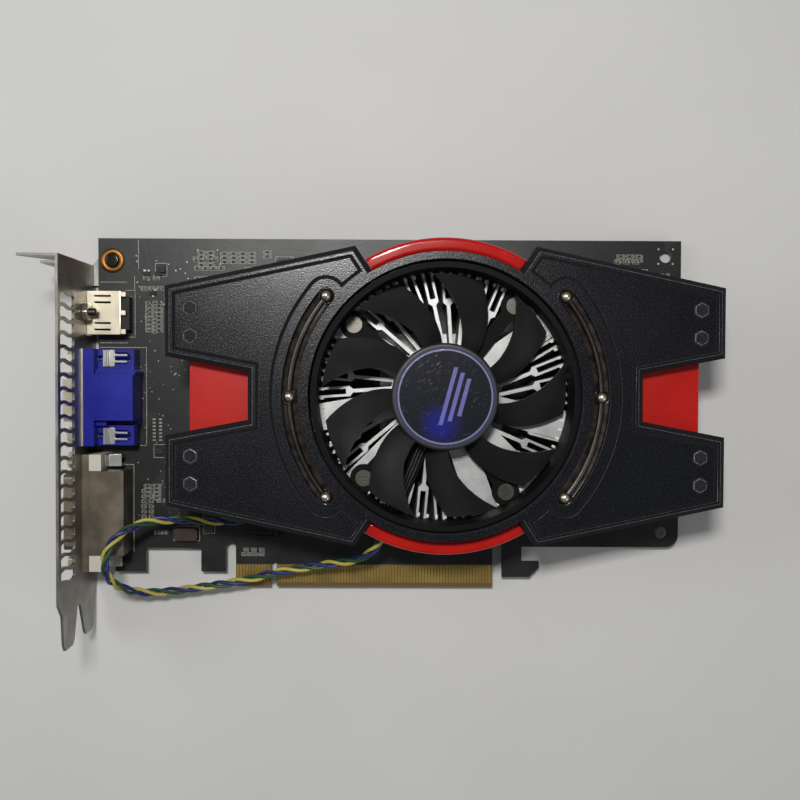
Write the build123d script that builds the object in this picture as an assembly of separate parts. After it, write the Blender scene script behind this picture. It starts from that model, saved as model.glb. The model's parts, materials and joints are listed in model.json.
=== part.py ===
from build123d import *
import math
import os

# A dual-slot graphics card lying on its back: fan up, connectors to the left (-X),
# edge contacts towards -Y.  Sizes are in millimetres.
#
# The sub-parts are drawn in the card's own frame: X = 0 and Y = 0 at the lower left
# corner of the edge contacts, Z = 0 at the board's component face.  export() then moves
# everything, so that the origin is below the middle of the whole card, on the table.

# ---------------------------------------------------------------- driving dimensions
# circuit board
board_left = -45.25
board_length = 192.25
board_top = 115.1
board_bottom = 13.5
board_thick = 1.57
board_corner = 4.0
tab_drop = 4.95             # lower end of the two guide tabs
hook_drop = 3.4             # lower end of the latch hook
contact_width = 85.2        # x16 edge, from its left side to its right side
key_start = 11.65
key_width = 1.9
key_top = 8.5
contact_pitch = 1.0
contact_line = 7.2          # upper end of the gold contacts
gold_thick = 0.05
edge_bevel = 0.45

# bracket
bracket_outer = -48.0       # X of the face that meets the computer's case
sheet = 0.8
slot_width = 18.42
slot_pitch = 20.32
bracket_top = 106.18
bracket_height = 120.02
tab_reach = 11.43
tongue_width = 10.19
tongue_length = 11.0
below_board = 3.95          # the bracket's long edge, below the component face
vent_count = 21
vent_top = 93.1             # middle of the uppermost vent
vent_rise = 11.4            # middle of the vents, above the first slot
vent_pitch = 4.21
vent_length = 13.2
vent_height = 3.15
vent_wave = 0.5

# fan and cooler
fan_x = 67.7
fan_y = 64.0
die_height = 2.0            # chip and its package, above the board
paste_thick = 0.1
base_thick = 1.9
sink_radius = 46.5
sink_height = 15.9          # from the contact face to the top of the fins
sink_core = 16.5
fork_radius = 29.5          # where each fin splits in two
fin_count = 40
frame_inner = 38.9
frame_wall = 1.7
frame_height = 13.6
blade_count = 9
blade_tip_gap = 1.5
blade_turn = 22.0           # of the first blade, at rest
hub_radius = 16.3
hub_height = 10.1
hub_wall = 1.2
shaft_radius = 1.0
shaft_play = 0.02
strut_thick = 1.6
label_radius = 15.1
magnet_outer = 14.5
magnet_inner = 13.3
bearing_outer = 2.5
tube_outer = 3.4
stator_outer = 12.8

# shroud
cover_half_length = 84.0
cover_half_width = 45.1
cover_end_half = 33.0       # half the width of a wing's outer end
notch_outer = 11.9
notch_inner = 7.2
notch_floor = 59.3          # from the fan's axis to the bottom of a side notch
arm_x = 27.2
ring_gap = 0.6              # between the cover's ring and the fan's wall
ring_width = 2.3
cover_depth = 7.0
cover_skin = 2.0
cover_bevel = 1.6
frame_plate = 4.0           # the red frame, under the cover
plate_reach = 77.7
plate_half = 13.0
groove_inset = 2.4          # from a wing's edge to its groove
groove_width = 1.0
groove_depth = 0.5
accent_gap = 3.2            # from the ring to the middle of an accent rod
accent_angle = 40.0
rod_diameter = 1.7

# screws and clearances
play = 0.05                 # round a screw in its own hole
rest_gap = 0.3              # between neighbours that must not touch
boss_inset = 3.2            # from the fan's inner wall to its screws
sink_screw_pitch = 58.4     # between the four spring screws

# fan lead: three twisted wires
lead_diameter = 2.8
motor_wire = 0.9
wire_count = 3

# ---------------------------------------------------------------- worked out from them
board_right = board_left + board_length
board_back = -board_thick
bracket_inner = bracket_outer + sheet
floor = -below_board
bracket_front = floor + slot_width + slot_pitch
bracket_tip = bracket_top - bracket_height
sink_bottom = die_height + paste_thick
fin_bottom = sink_bottom + base_thick
sink_top = sink_bottom + sink_height
frame_outer = frame_inner + frame_wall
fan_screw_circle = frame_inner - boss_inset
ring_inner = frame_outer + ring_gap
ring_outer = ring_inner + ring_width
accent_radius = ring_outer + accent_gap
plate_bottom = sink_top + 4.0
cover_bottom = plate_bottom + frame_plate
cover_top = cover_bottom + cover_depth
pocket_top = cover_top - cover_skin
blade_tip = frame_inner - blade_tip_gap
motor_floor = sink_top + 1.2
hub_bottom = motor_floor + 0.7
hub_top = hub_bottom + hub_height
strut_top = sink_top + strut_thick
wire_floor = strut_top - 0.8
sleeve_top = motor_floor + 6.6
screw_half = sink_screw_pitch / 2
lead_angle = 247.0
lead_height = sink_top + 2.1
fan_screw_angles = (52.0, 141.7, 226.0, 303.3)
plate_angles = (35.0, 146.0, 190.0, 225.0, 290.0, 346.0)
post_angles = (35.0, 146.0, 225.0, 315.0)
post_circle = sink_radius - 2.3

middle_x = (bracket_outer - tab_reach + fan_x + cover_half_length) / 2
middle_y = (bracket_tip + board_top) / 2


# ---------------------------------------------------------------- small helpers
def block(x0, x1, y0, y1, z0, z1):
    return Pos((x0 + x1) / 2, (y0 + y1) / 2, (z0 + z1) / 2) * Box(x1 - x0, y1 - y0, z1 - z0)


def drum(x, y, radius, z0, z1):
    return Pos(x, y, (z0 + z1) / 2) * Cylinder(radius, z1 - z0)


def bar_x(y, z, radius, x0, x1):
    return Pos((x0 + x1) / 2, y, z) * Rot(0, 90, 0) * Cylinder(radius, x1 - x0)


def slab(shape, z0, z1):
    """A flat outline, drawn at Z = 0, made solid between two heights."""
    return extrude(Pos(0, 0, z0) * shape, z1 - z0)


def polygon(*points):
    return make_face(Polyline(*points, close=True))


def rectangle(x0, x1, y0, y1):
    return Pos((x0 + x1) / 2, (y0 + y1) / 2) * Rectangle(x1 - x0, y1 - y0)


def annulus(outer, inner):
    return Circle(outer) - Circle(inner)


def spoke(angle, radius):
    """A place at a distance from the fan's axis."""
    a = math.radians(angle)
    return fan_x + radius * math.cos(a), fan_y + radius * math.sin(a)


def at_fan(shape):
    return Pos(fan_x, fan_y) * shape


def joined(shapes):
    shapes = list(shapes)
    return shapes[0] + shapes[1:] if len(shapes) > 1 else shapes[0]


def group(shapes):
    """Separate solids that share one node."""
    solids = []
    for shape in shapes:
        solids.extend(shape.solids())
    return Compound(children=solids)


# ---------------------------------------------------------------- circuit board
tab_left = (-39.9, -29.7)       # the two guide tabs, from left to right
tab_mid = (-11.5, -3.3)
tab_gap_top = board_bottom - 0.7
contact_gap = 3.2               # between the contacts and the latch hook
hook_left = contact_width + contact_gap
hook_neck = 6.5
hook_width = 12.3
hook_bite = 5.2
corner_holes = ((board_right - 5.1, board_top - 5.1), (board_right - 5.5, board_bottom + 4.7))
corner_hole_radius = 2.05
ground_hole = (board_left + 4.6, board_top - 7.3)
ground_hole_radius = 2.2
sink_screws = [(fan_x + i * screw_half, fan_y + j * screw_half) for i in (-1, 1) for j in (-1, 1)]
sink_screw_radius = 1.22


def circuit_board():
    hook_right = hook_left + hook_width
    outline = polygon(
        (board_left, board_top), (board_right, board_top), (board_right, board_bottom),
        (contact_width, board_bottom), (contact_width, 0), (0, 0), (0, board_bottom),
        (tab_mid[1], board_bottom), (tab_mid[1], tab_drop), (tab_mid[0], tab_drop),
        (tab_mid[0], tab_gap_top), (tab_left[1], tab_gap_top), (tab_left[1], tab_drop),
        (tab_left[0], tab_drop), (tab_left[0], board_bottom), (board_left, board_bottom))
    hook = polygon(
        (hook_left, board_bottom), (hook_left + hook_neck, board_bottom),
        (hook_left + hook_neck, hook_drop + hook_bite), (hook_right, hook_drop + hook_bite),
        (hook_right, hook_drop + 3.2), (hook_right - 3.2, hook_drop), (hook_left, hook_drop))
    bite = Pos(hook_left + hook_neck + 1.2, board_bottom - 2.2) * Circle(1.2)
    shape = outline + hook - bite
    # the slots beside the contacts are cut up into the board, with round tops
    beside = Pos(hook_left - contact_gap / 2, board_bottom - 1.4) * SlotOverall(9, contact_gap, rotation=90)
    guide = Pos(tab_mid[1] / 2, board_bottom - 3.5) * SlotOverall(9.4, -tab_mid[1], rotation=90)
    key = Pos(key_start + key_width / 2, key_top - 6) * SlotOverall(12, key_width, rotation=90)
    shape = shape - key - guide - beside
    holes = [Pos(*place) * Circle(corner_hole_radius) for place in corner_holes]
    holes += [Pos(*ground_hole) * Circle(ground_hole_radius)]
    holes += [Pos(*place) * Circle(sink_screw_radius + 0.3) for place in sink_screws]
    board = slab(shape - holes, board_back, 0)
    corner = [e for e in board.edges().filter_by(Axis.Z)
              if abs(e.center().X - board_right) < 0.01 and abs(e.center().Y - board_bottom) < 0.01]
    board = fillet(corner, board_corner)
    # the lower edge is bevelled on both faces, to enter its socket
    wedge = [(0, 0), (edge_bevel * 3, 0), (0, edge_bevel)]
    for face, turn in ((0, -1), (board_back, 1)):
        profile = polygon(*[(y - 0.01, face + turn * z) for y, z in wedge])
        board = board - face_x(profile, 0, 0, -1, contact_width + 1)
    return board


def edge_contacts():
    contacts = []
    width = 0.7
    foot = edge_bevel * 3 + 0.15
    for start, count in ((0, 11), (key_start + key_width, 71)):
        for i in range(count):
            x = start + 0.65 + i * contact_pitch
            for z in (0, board_back - gold_thick):
                contacts.append(block(x - width / 2, x + width / 2, foot, contact_line, z, z + gold_thick))
    return group(contacts)


# ---------------------------------------------------------------- mounting bracket
hdmi_y = 90.25
hdmi_width = 14.1
hdmi_height = 6.0
vga_y = 62.95
dvi_y = 25.9
plug_z = 6.4                    # axis of the two D-shaped sockets
vga_jack_pitch = 24.99
dvi_jack_pitch = 33.32
jack_radius = 1.42
hdmi_screw_z = 9.6
hdmi_screw_radius = 1.2
ear_thick = sheet
ear_hole_radius = 1.6


def d_socket(width, height, narrowing, radius):
    """The rounded outline of a D-shaped socket in the (Y, Z) plane of the bracket."""
    half = width / 2
    flat = fillet(polygon(
        (-half, height / 2), (half, height / 2),
        (half - narrowing, -height / 2), (-half + narrowing, -height / 2)).vertices(), radius)
    return flat


def face_x(flat, y, z, x0, x1):
    """A flat outline whose X is the card's Y, and Y the card's Z, made solid along X."""
    plane = Plane(origin=(x0, y, z), x_dir=(0, 1, 0), z_dir=(1, 0, 0))
    return extrude(plane * flat, x1 - x0)


def vga_outline(grow=0.0):
    return d_socket(16.9 + 2 * grow, 8.4 + 2 * grow, 1.4, 2.2)


def dvi_outline(grow=0.0):
    return d_socket(25.0 + 2 * grow, 8.6 + 2 * grow, 1.2, 1.6)


def vent_outline():
    half, rise = vent_length / 2, vent_height / 2
    steps = [(-half + vent_length * i / 8, vent_wave * math.sin(2 * math.pi * i / 8)) for i in range(9)]
    upper = Spline(*[(x, y + rise) for x, y in steps])
    lower = Spline(*[(x, y - rise) for x, y in steps])
    sides = [Line((x, -rise), (x, rise)) for x in (-half, half)]
    return fillet(make_face([upper, lower] + sides).vertices(), 0.8)


def bracket_panel():
    """The flat panel in the (Y, Z) plane, with its two tongues."""
    step = (slot_width - tongue_width) / 2
    shoulder = bracket_tip + tongue_length
    middle = (bracket_front + floor) / 2
    upper = (bracket_front - step - 0.6, bracket_front - step - 0.6 - tongue_width)
    lower = (upper[0] - slot_pitch, upper[1] - slot_pitch)
    points = [(bracket_top, floor), (bracket_top, bracket_front), (shoulder + 4, bracket_front),
              (shoulder, upper[0] + 1.2), (bracket_tip + 2, upper[0]), (bracket_tip, upper[0] - 1.5),
              (bracket_tip, upper[1] + 1.5), (bracket_tip + 2, upper[1]), (shoulder, middle + 1.5),
              (shoulder, middle - 1.5), (bracket_tip + 2, lower[0]), (bracket_tip, lower[0] - 1.5),
              (bracket_tip, lower[1] + 1.5), (bracket_tip + 2, lower[1]), (shoulder, lower[1] - 1.2),
              (shoulder + 4, floor)]
    return polygon(*points)


def mounting_bracket():
    panel = face_x(bracket_panel(), 0, 0, bracket_outer, bracket_inner)
    # the top tab, bent outwards, is cut away beside the second slot
    edge = bracket_outer - tab_reach
    reach = polygon(
        (bracket_inner, bracket_front), (edge, bracket_front), (edge, bracket_front - 1.4),
        (bracket_outer - 2.5, bracket_front - slot_pitch + 3.0), (bracket_outer - 2.5, floor + slot_width),
        (edge, floor + slot_width), (edge, floor + 3.0), (edge + 3.0, floor), (bracket_inner, floor))
    notch = Pos(bracket_outer - 5.1, floor + 2.0) * SlotOverall(9.0, 4.42, rotation=90)
    tab_plane = Plane(origin=(0, bracket_top, 0), x_dir=(1, 0, 0), z_dir=(0, -1, 0))
    tab = extrude(tab_plane * (reach - notch), sheet)
    # the ear behind the board takes the grounding screw
    ear_x, ear_y = ground_hole
    ear = Pos(ear_x, ear_y) * Circle(4.4) + rectangle(bracket_outer, ear_x, ear_y - 8.2, ear_y - 1.8)
    ear = ear + polygon((ear_x, ear_y + 4.4), (ear_x - 3, ear_y + 3.2), (bracket_outer, ear_y - 1.8),
                        (ear_x, ear_y - 4.4))
    ear = slab(ear - Pos(ear_x, ear_y) * Circle(ear_hole_radius), board_back - ear_thick, board_back)
    body = panel + tab + ear
    body = body - face_x(rectangle(-hdmi_width / 2 - 0.3, hdmi_width / 2 + 0.3, -0.3, hdmi_height + 0.5),
                         hdmi_y, 0.2, bracket_outer - 1, bracket_inner + 0.1)
    body = body - face_x(vga_outline(0.3), vga_y, plug_z, bracket_outer - 1, bracket_inner + 0.1)
    body = body - face_x(dvi_outline(0.3), dvi_y, plug_z, bracket_outer - 1, bracket_inner + 0.1)
    for y, pitch in ((vga_y, vga_jack_pitch), (dvi_y, dvi_jack_pitch)):
        for side in (-1, 1):
            body = body - bar_x(y + side * pitch / 2, plug_z, jack_radius + play,
                                bracket_outer - 1, bracket_inner + 0.1)
    body = body - bar_x(hdmi_y, hdmi_screw_z, hdmi_screw_radius + play, bracket_outer - 1, bracket_inner + 0.1)
    vents = [face_x(Rot(0, 0, 90) * vent_outline(), vent_top - i * vent_pitch, floor + slot_width + vent_rise,
                    bracket_outer - 1, bracket_inner + 0.1) for i in range(vent_count)]
    return body - vents


def ground_screw():
    x, y = ground_hole
    head = drum(x, y, 2.9, board_back - ear_thick - 1.3, board_back - ear_thick)
    shank = drum(x, y, ear_hole_radius - play, board_back - ear_thick, -0.3)
    nut = drum(x, y, ground_hole_radius - play, board_back, 0.5)
    nut = fillet(nut.edges().group_by(Axis.Z)[-1], 0.45)
    return head + shank + nut


# ---------------------------------------------------------------- HDMI socket
shell_wall = 0.4
comb_half = 5.4                 # the black comb behind the HDMI shell
comb_heights = (1.7, 4.4)


def hdmi_shell():
    y0, y1 = hdmi_y - hdmi_width / 2, hdmi_y + hdmi_width / 2
    back = bracket_inner + 10.8
    front = bracket_outer - 0.3
    outer = block(front, back, y0, y1, 0.2, 0.2 + hdmi_height)
    inner = block(front - 1, back - shell_wall, y0 + shell_wall, y1 - shell_wall,
                  0.2 + shell_wall, hdmi_height + 0.2 - shell_wall)
    shell = outer - inner
    top = hdmi_height + 0.2
    for centre in (-4.4, 4.4):
        for side in (-1.05, 1.05):
            y = hdmi_y + centre + side
            slot = block(bracket_inner + 2.4, bracket_inner + 7.6, y - 0.25, y + 0.25, top - 1, top + 1)
            shell = shell - slot
    for y in (y0 + 1.0, hdmi_y, y1 - 1.0):
        shell = shell + block(back - shell_wall, back + 1.6, y - 0.8, y + 0.8, top - 0.8, top - 0.4)
    return shell - block(back - 1, back + 0.1, hdmi_y - comb_half, hdmi_y + comb_half, *comb_heights)


def hdmi_core():
    half = hdmi_width / 2 - shell_wall
    low, high = 0.2 + shell_wall, hdmi_height + 0.2 - shell_wall
    back = bracket_inner + 10.8
    body = block(back - 3.2, back - shell_wall, hdmi_y - half, hdmi_y + half, low, high)
    tongue = block(bracket_outer + 0.6, back - 3.2, hdmi_y - 5.6, hdmi_y + 5.6, 2.6, 3.7)
    comb = block(back - 0.5, back + 2.4, hdmi_y - comb_half, hdmi_y + comb_half, *comb_heights)
    return body + tongue + comb


def hdmi_contacts():
    """The row of solder pins behind the shell, in two lengths."""
    back = bracket_inner + 10.8
    return group(block(back, back + 2.2, hdmi_y - 5.2 + i * 1.15, hdmi_y - 4.75 + i * 1.15, 0, 0.5 + 0.9 * (i % 2))
                 for i in range(10))


def hdmi_screw():
    head = bar_x(hdmi_y, hdmi_screw_z, 2.3, bracket_outer - 1.3, bracket_outer)
    head = head - block(bracket_outer - 2, bracket_outer - 0.8, hdmi_y - 1.4, hdmi_y + 1.4,
                        hdmi_screw_z - 0.3, hdmi_screw_z + 0.3)
    shank = bar_x(hdmi_y, hdmi_screw_z, hdmi_screw_radius, bracket_outer, bracket_inner + 4.2)
    tip = shank.edges().group_by(Axis.X)[-1]
    return head + chamfer(tip, 0.4)


def hdmi_nut():
    hexagon = Rot(0, 0, 30) * RegularPolygon(3.1, 6)
    nut = face_x(hexagon - Circle(hdmi_screw_radius + play), hdmi_y, hdmi_screw_z,
                 bracket_inner, bracket_inner + 1.9)
    return nut


# ---------------------------------------------------------------- VGA socket
flange_sheet = 0.5
vga_flange = 31.1
vga_top = 12.5
vga_body = 18.2
vga_back = bracket_inner + 16.9
vga_shelf_back = bracket_inner + 15.5
vga_shelf = 7.5
socket_reach = 5.6


def vga_shell():
    plate = face_x(rectangle(-vga_flange / 2, vga_flange / 2, 0.4 - plug_z, vga_top - plug_z) - vga_outline(),
                   vga_y, plug_z, bracket_inner, bracket_inner + flange_sheet)
    tube = face_x(vga_outline() - vga_outline(-shell_wall), vga_y, plug_z,
                  bracket_outer - socket_reach, bracket_inner + flange_sheet)
    for side in (-1, 1):
        plate = plate - bar_x(vga_y + side * vga_jack_pitch / 2, plug_z, jack_radius + play,
                              bracket_inner - 1, bracket_inner + 1)
    return plate + tube


def vga_housing():
    x0 = bracket_inner + flange_sheet
    y0, y1 = vga_y - vga_flange / 2, vga_y + vga_flange / 2
    body = block(x0, x0 + 3.4, y0, y1, 0, vga_top)
    body = body + block(x0, vga_back - 0.6, vga_y - 7.3, vga_y + 7.3, 0, vga_top)
    body = body + block(x0, vga_back - 0.9, vga_y - vga_body / 2, vga_y + vga_body / 2, 0, vga_top - 2.4)
    body = body + block(x0, vga_shelf_back, y0, y1, 0, vga_shelf)
    nub = slab(Pos(vga_back - 3.2, vga_y + vga_body / 2 - 1.1) * SlotOverall(6.2, 2.0), 0, vga_top - 1.4)
    gap = block(x0 + 6.8, vga_back + 1, vga_y - vga_body / 2 - 0.01, vga_y - 7.35, vga_shelf - 3, vga_top)
    body = body + nub - gap
    for side in (-1, 1):
        y = vga_y + side * (vga_flange / 2 - 3.0)
        slot = polygon((x0 + 9.2, y - 1.9), (x0 + 12.8, y - 1.9), (x0 + 14.5, y), (x0 + 12.8, y + 1.9),
                       (x0 + 9.2, y + 1.9))
        body = body - slab(slot, vga_shelf - 3.4, vga_shelf + 1)
        body = body - bar_x(vga_y + side * vga_jack_pitch / 2, plug_z, jack_radius + play, x0 - 1, x0 + 5)
    face = face_x(vga_outline(-shell_wall), vga_y, plug_z, bracket_outer - 1.2, x0)
    pins = []
    for row, shift in ((-1, 0), (0, 1.145), (1, 0)):
        for i in range(5):
            y = vga_y + (i - 2) * 2.29 + shift - 0.57
            pins.append(bar_x(y, plug_z + row * 1.98, 0.5, bracket_outer - 2, bracket_outer + 1.5))
    return body + (face - pins)


def vga_board_locks():
    locks = []
    x0 = bracket_inner + flange_sheet
    for side in (-1, 1):
        y = vga_y + side * (vga_flange / 2 - 3.0)
        lock = block(x0 + 5.0, x0 + 8.9, y - 2.7, y + 2.7, vga_shelf, vga_shelf + 0.4)
        lock = lock + block(x0 + 6.3, x0 + 7.1, y - 2.7, y + 2.7, vga_shelf, vga_shelf + 0.8)
        for prong in (-1, 1):
            py = y + prong * 1.05
            lock = lock + block(x0 + 8.5, x0 + 13.0, py - 0.35, py + 0.35, vga_shelf, vga_shelf + 0.4)
            lock = lock + block(x0 + 12.6, x0 + 13.0, py - 0.35, py + 0.35, vga_shelf - 3.2, vga_shelf + 0.4)
        locks.append(lock)
    return group(locks)


# ---------------------------------------------------------------- DVI socket
dvi_flange = 37.6
dvi_can = 27.0
dvi_top = 12.6
dvi_can_back = bracket_inner + 13.35
dvi_flange_depth = 2.2
dvi_end_depth = 3.9


def dvi_shell():
    x0 = bracket_inner + dvi_flange_depth
    plate = face_x(rectangle(-dvi_flange / 2, dvi_flange / 2, 0.4 - plug_z, dvi_top - 0.4 - plug_z)
                   - dvi_outline(), dvi_y, plug_z, bracket_inner, x0)
    for side in (-1, 1):
        plate = plate - bar_x(dvi_y + side * dvi_jack_pitch / 2, plug_z, jack_radius + play,
                              bracket_inner - 1, x0 + 1)
    tube = face_x(dvi_outline() - dvi_outline(-shell_wall), dvi_y, plug_z, bracket_outer - socket_reach, x0)
    y0, y1 = dvi_y - dvi_can / 2, dvi_y + dvi_can / 2
    can = block(x0 - 0.1, dvi_can_back, y0, y1, 0.3, dvi_top)
    can = can - block(x0 - 1, dvi_can_back - shell_wall, y0 + shell_wall, y1 - shell_wall, 0, dvi_top - shell_wall)
    return plate + tube + can


def dvi_insulator():
    x0 = bracket_inner + dvi_flange_depth
    y0, y1 = dvi_y - dvi_can / 2, dvi_y + dvi_can / 2
    ends = block(x0, x0 + dvi_end_depth, dvi_y - dvi_flange / 2, dvi_y + dvi_flange / 2, 0, dvi_top - 0.4)
    ends = ends - block(x0 - 1, x0 + 20, y0, y1, -1, dvi_top + 1)
    core = block(x0, dvi_can_back - shell_wall, y0 + shell_wall, y1 - shell_wall, 0, dvi_top - shell_wall)
    bridge = block(x0, x0 + dvi_end_depth, y0 - 1, y1 + 1, 0, 0.3)
    face = face_x(dvi_outline(-shell_wall), dvi_y, plug_z, bracket_outer - 1.0, x0)
    holes = [block(bracket_outer - 2, bracket_outer + 1, y - 0.5, y + 0.5, z - 0.5, z + 0.5)
             for y in [dvi_y - 10.2 + i * 1.905 for i in range(8)]
             for z in (plug_z - 1.905, plug_z, plug_z + 1.905)]
    cross = block(bracket_outer - 2, bracket_outer + 1, dvi_y + 6.6, dvi_y + 11.0, plug_z - 0.3, plug_z + 0.3)
    cross = cross + block(bracket_outer - 2, bracket_outer + 1, dvi_y + 8.5, dvi_y + 9.1, plug_z - 2.5, plug_z + 2.5)
    body = ends + bridge + core + (face - holes - cross)
    for side in (-1, 1):
        body = body - bar_x(dvi_y + side * dvi_jack_pitch / 2, plug_z, jack_radius + play, x0 - 1, x0 + 3.0)
    return body


def dvi_board_locks():
    locks = []
    x0 = bracket_inner + dvi_flange_depth + dvi_end_depth
    for side in (-1, 1):
        y = dvi_y + side * (dvi_flange / 2 - 2.4)
        lock = block(x0, x0 + 4.6, y - 2.0, y + 2.0, 4.4, 4.8)
        lock = lock + block(x0, x0 + 0.4, y - 2.0, y + 2.0, 4.4, 8.0)
        for prong in (-1, 1):
            lock = lock + block(x0 + 4.2, x0 + 4.6, y + prong * 1.5 - 0.5, y + prong * 1.5 + 0.5, 0, 4.8)
        locks.append(lock)
    return group(locks)


def jack_screws():
    screws = []
    for y, pitch in ((vga_y, vga_jack_pitch), (dvi_y, dvi_jack_pitch)):
        for side in (-1, 1):
            place = y + side * pitch / 2
            hexagon = face_x(RegularPolygon(2.4, 6, major_radius=False), place, plug_z, bracket_outer - 5.0, bracket_outer)
            hexagon = hexagon - bar_x(place, plug_z, 1.12, bracket_outer - 6, bracket_outer - 0.8)
            screws.append(hexagon + bar_x(place, plug_z, jack_radius, bracket_outer, bracket_inner + 4.0))
    return group(screws)


# ---------------------------------------------------------------- heat sink and its chip
def fin():
    """One fork of the cooler, from the core outwards along +X."""
    stem, prong, spread = 0.55, 0.75, 1.6
    fork = fork_radius - sink_core + 1
    length = sink_radius - sink_core + 5
    outline = polygon(
        (-2, -stem), (fork - 1, -stem), (fork, -spread), (length, -spread), (length, prong - spread),
        (fork + 1.2, prong - spread), (fork + 1.2, spread - prong), (length, spread - prong),
        (length, spread), (fork, spread), (fork - 1, stem), (-2, stem))
    return Pos(sink_core - 1, 0) * Rot(0, 0, 13) * outline


def near(angle, others, limit):
    return any(abs((angle - other + 180) % 360 - 180) < limit for other in others)


def heat_sink():
    angles = [i * 360 / fin_count for i in range(fin_count)]
    shapes = [Rot(0, 0, a) * fin() for a in angles if not near(a, plate_angles, 5)]
    shapes += [Rot(0, 0, a) * rectangle(sink_core - 2, sink_radius, -4.2, 4.2) for a in plate_angles + post_angles]
    pillars = [Pos(spoke(a, fan_screw_circle)[0] - fan_x, spoke(a, fan_screw_circle)[1] - fan_y) * Circle(3.2)
               for a in fan_screw_angles]
    shape = Circle(sink_core) + shapes + pillars
    shape = shape & Circle(sink_radius)
    sink = at_fan(slab(shape, fin_bottom, sink_top))
    half = sink_screw_pitch / 2 + 3.6
    base = Rectangle(40, 40) + [Rot(0, 0, a) * rectangle(0, half * math.sqrt(2), -3.6, 3.6) for a in (45, 135, 225, 315)]
    base = base & Circle(sink_screw_pitch / math.sqrt(2) + 3.6)
    sink = sink + at_fan(slab(base, sink_bottom, fin_bottom))
    for x, y in sink_screws:
        sink = sink + drum(x, y, 3.4, 0, fin_bottom)
    sink = sink - [drum(x, y, sink_screw_radius + play, -1, fin_bottom - 0.4) for x, y in sink_screws]
    sink = sink - [drum(*spoke(a, fan_screw_circle), 1.25 + play, sink_top - 9, sink_top + 1) for a in fan_screw_angles]
    sink = sink - [drum(*spoke(a, post_circle), 1.0 + play, fin_bottom - 3, sink_top + 1) for a in post_angles]
    return sink - [drum(*spoke(a, post_circle), 2.1, fin_bottom - 3, fin_bottom + 1.4) for a in post_angles]


def gpu_substrate():
    return at_fan(block(-14.5, 14.5, -14.5, 14.5, 0, die_height - 0.8))


def gpu_die():
    return at_fan(block(-5.8, 5.8, -5.4, 5.4, die_height - 0.8, die_height))


def thermal_paste():
    return at_fan(block(-5.8, 5.8, -5.4, 5.4, die_height, sink_bottom))


def spring_screws():
    screws = []
    for x, y in sink_screws:
        head = drum(x, y, 3.2, floor, floor + 1.0)
        head = head - block(x - 2, x + 2, y - 0.35, y + 0.35, floor - 1, floor + 0.5)
        head = head - block(x - 0.35, x + 0.35, y - 2, y + 2, floor - 1, floor + 0.5)
        screws.append(head + drum(x, y, sink_screw_radius, floor + 1.0, fin_bottom - 0.6))
    return group(screws)


def screw_washers():
    return group(drum(x, y, 3.0, floor + 1.0, board_back) - drum(x, y, sink_screw_radius + play, floor, 0)
                 for x, y in sink_screws)


# ---------------------------------------------------------------- fan
def blade():
    """One blade along +X: the leading edge is high, the trailing edge low."""
    low, high = hub_bottom + 0.7, hub_top - 0.6
    thick = 1.1
    sections = []
    # radius, then the turn of the trailing and of the leading edge
    for radius, back, front in ((hub_radius - 0.6, -10, 11), (24.0, -5, 17), (31.5, 3, 26), (blade_tip + 1, 11, 35)):
        corners = []
        for angle, z in ((back, low), (back, low + thick), (front, high), (front, high - thick)):
            a = math.radians(angle)
            corners.append((radius * math.cos(a), radius * math.sin(a), z))
        sections.append(make_face(Polyline(*corners, close=True)))
    return loft(sections)


def fan_rotor():
    cup = Circle(hub_radius)
    hub = slab(cup, hub_bottom, hub_top)
    hub = fillet(hub.edges().group_by(Axis.Z)[-1], 0.9)
    blades = [Rot(0, 0, blade_turn + i * 360 / blade_count) * blade() for i in range(blade_count)]
    ring = slab(annulus(blade_tip, hub_radius - 0.8), hub_bottom, hub_top)
    wings = [b & ring for b in blades]
    hub = hub + wings
    hub = hub - slab(Circle(hub_radius - hub_wall), hub_bottom - 1, hub_top - hub_wall)
    hub = hub + slab(Circle(3.0), hub_top - 3.6, hub_top - hub_wall)
    hub = hub - slab(Circle(shaft_radius), hub_bottom, hub_top - hub_wall)
    hub = hub - slab(Circle(label_radius + play), hub_top - 0.3, hub_top + 1)
    return at_fan(hub)


def hub_label():
    return at_fan(slab(Circle(label_radius), hub_top - 0.3, hub_top + 0.05))


def fan_shaft():
    return at_fan(slab(Circle(shaft_radius), motor_floor + 0.15, hub_top - hub_wall))


def rotor_yoke():
    inside = hub_radius - hub_wall
    return at_fan(slab(annulus(inside, magnet_outer), hub_bottom + 0.6, hub_top - hub_wall))


def rotor_magnet():
    return at_fan(slab(annulus(magnet_outer, magnet_inner), hub_bottom + 0.9, hub_top - 2.2))


def fan_bearing():
    return at_fan(slab(annulus(bearing_outer, shaft_radius + shaft_play), motor_floor, sleeve_top))


def stator_core():
    arms = [Rot(0, 0, a) * rectangle(tube_outer + 0.6, stator_outer - 1, -1, 1) for a in range(0, 360, 60)]
    heads = [Rot(0, 0, a) * (annulus(stator_outer, stator_outer - 1.4) & polygon((0, 0), (20, -8.4), (20, 8.4)))
             for a in range(0, 360, 60)]
    shape = annulus(tube_outer + 1.6, tube_outer + shaft_play) + arms + heads
    return at_fan(slab(shape, motor_floor + 2.0, motor_floor + 6.0))


def stator_windings():
    low, high = motor_floor + 1.2, motor_floor + 6.8
    coils = []
    for a in range(0, 360, 60):
        coil = block(5.9, 11.1, -2.2, 2.2, low, high) - block(5, 12, -1, 1, motor_floor + 2.0, motor_floor + 6.0)
        coils.append(at_fan(Rot(0, 0, a) * coil))
    return group(coils)


def fan_motor_board():
    return at_fan(slab(annulus(12.4, tube_outer), motor_floor, motor_floor + 0.8))


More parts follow.
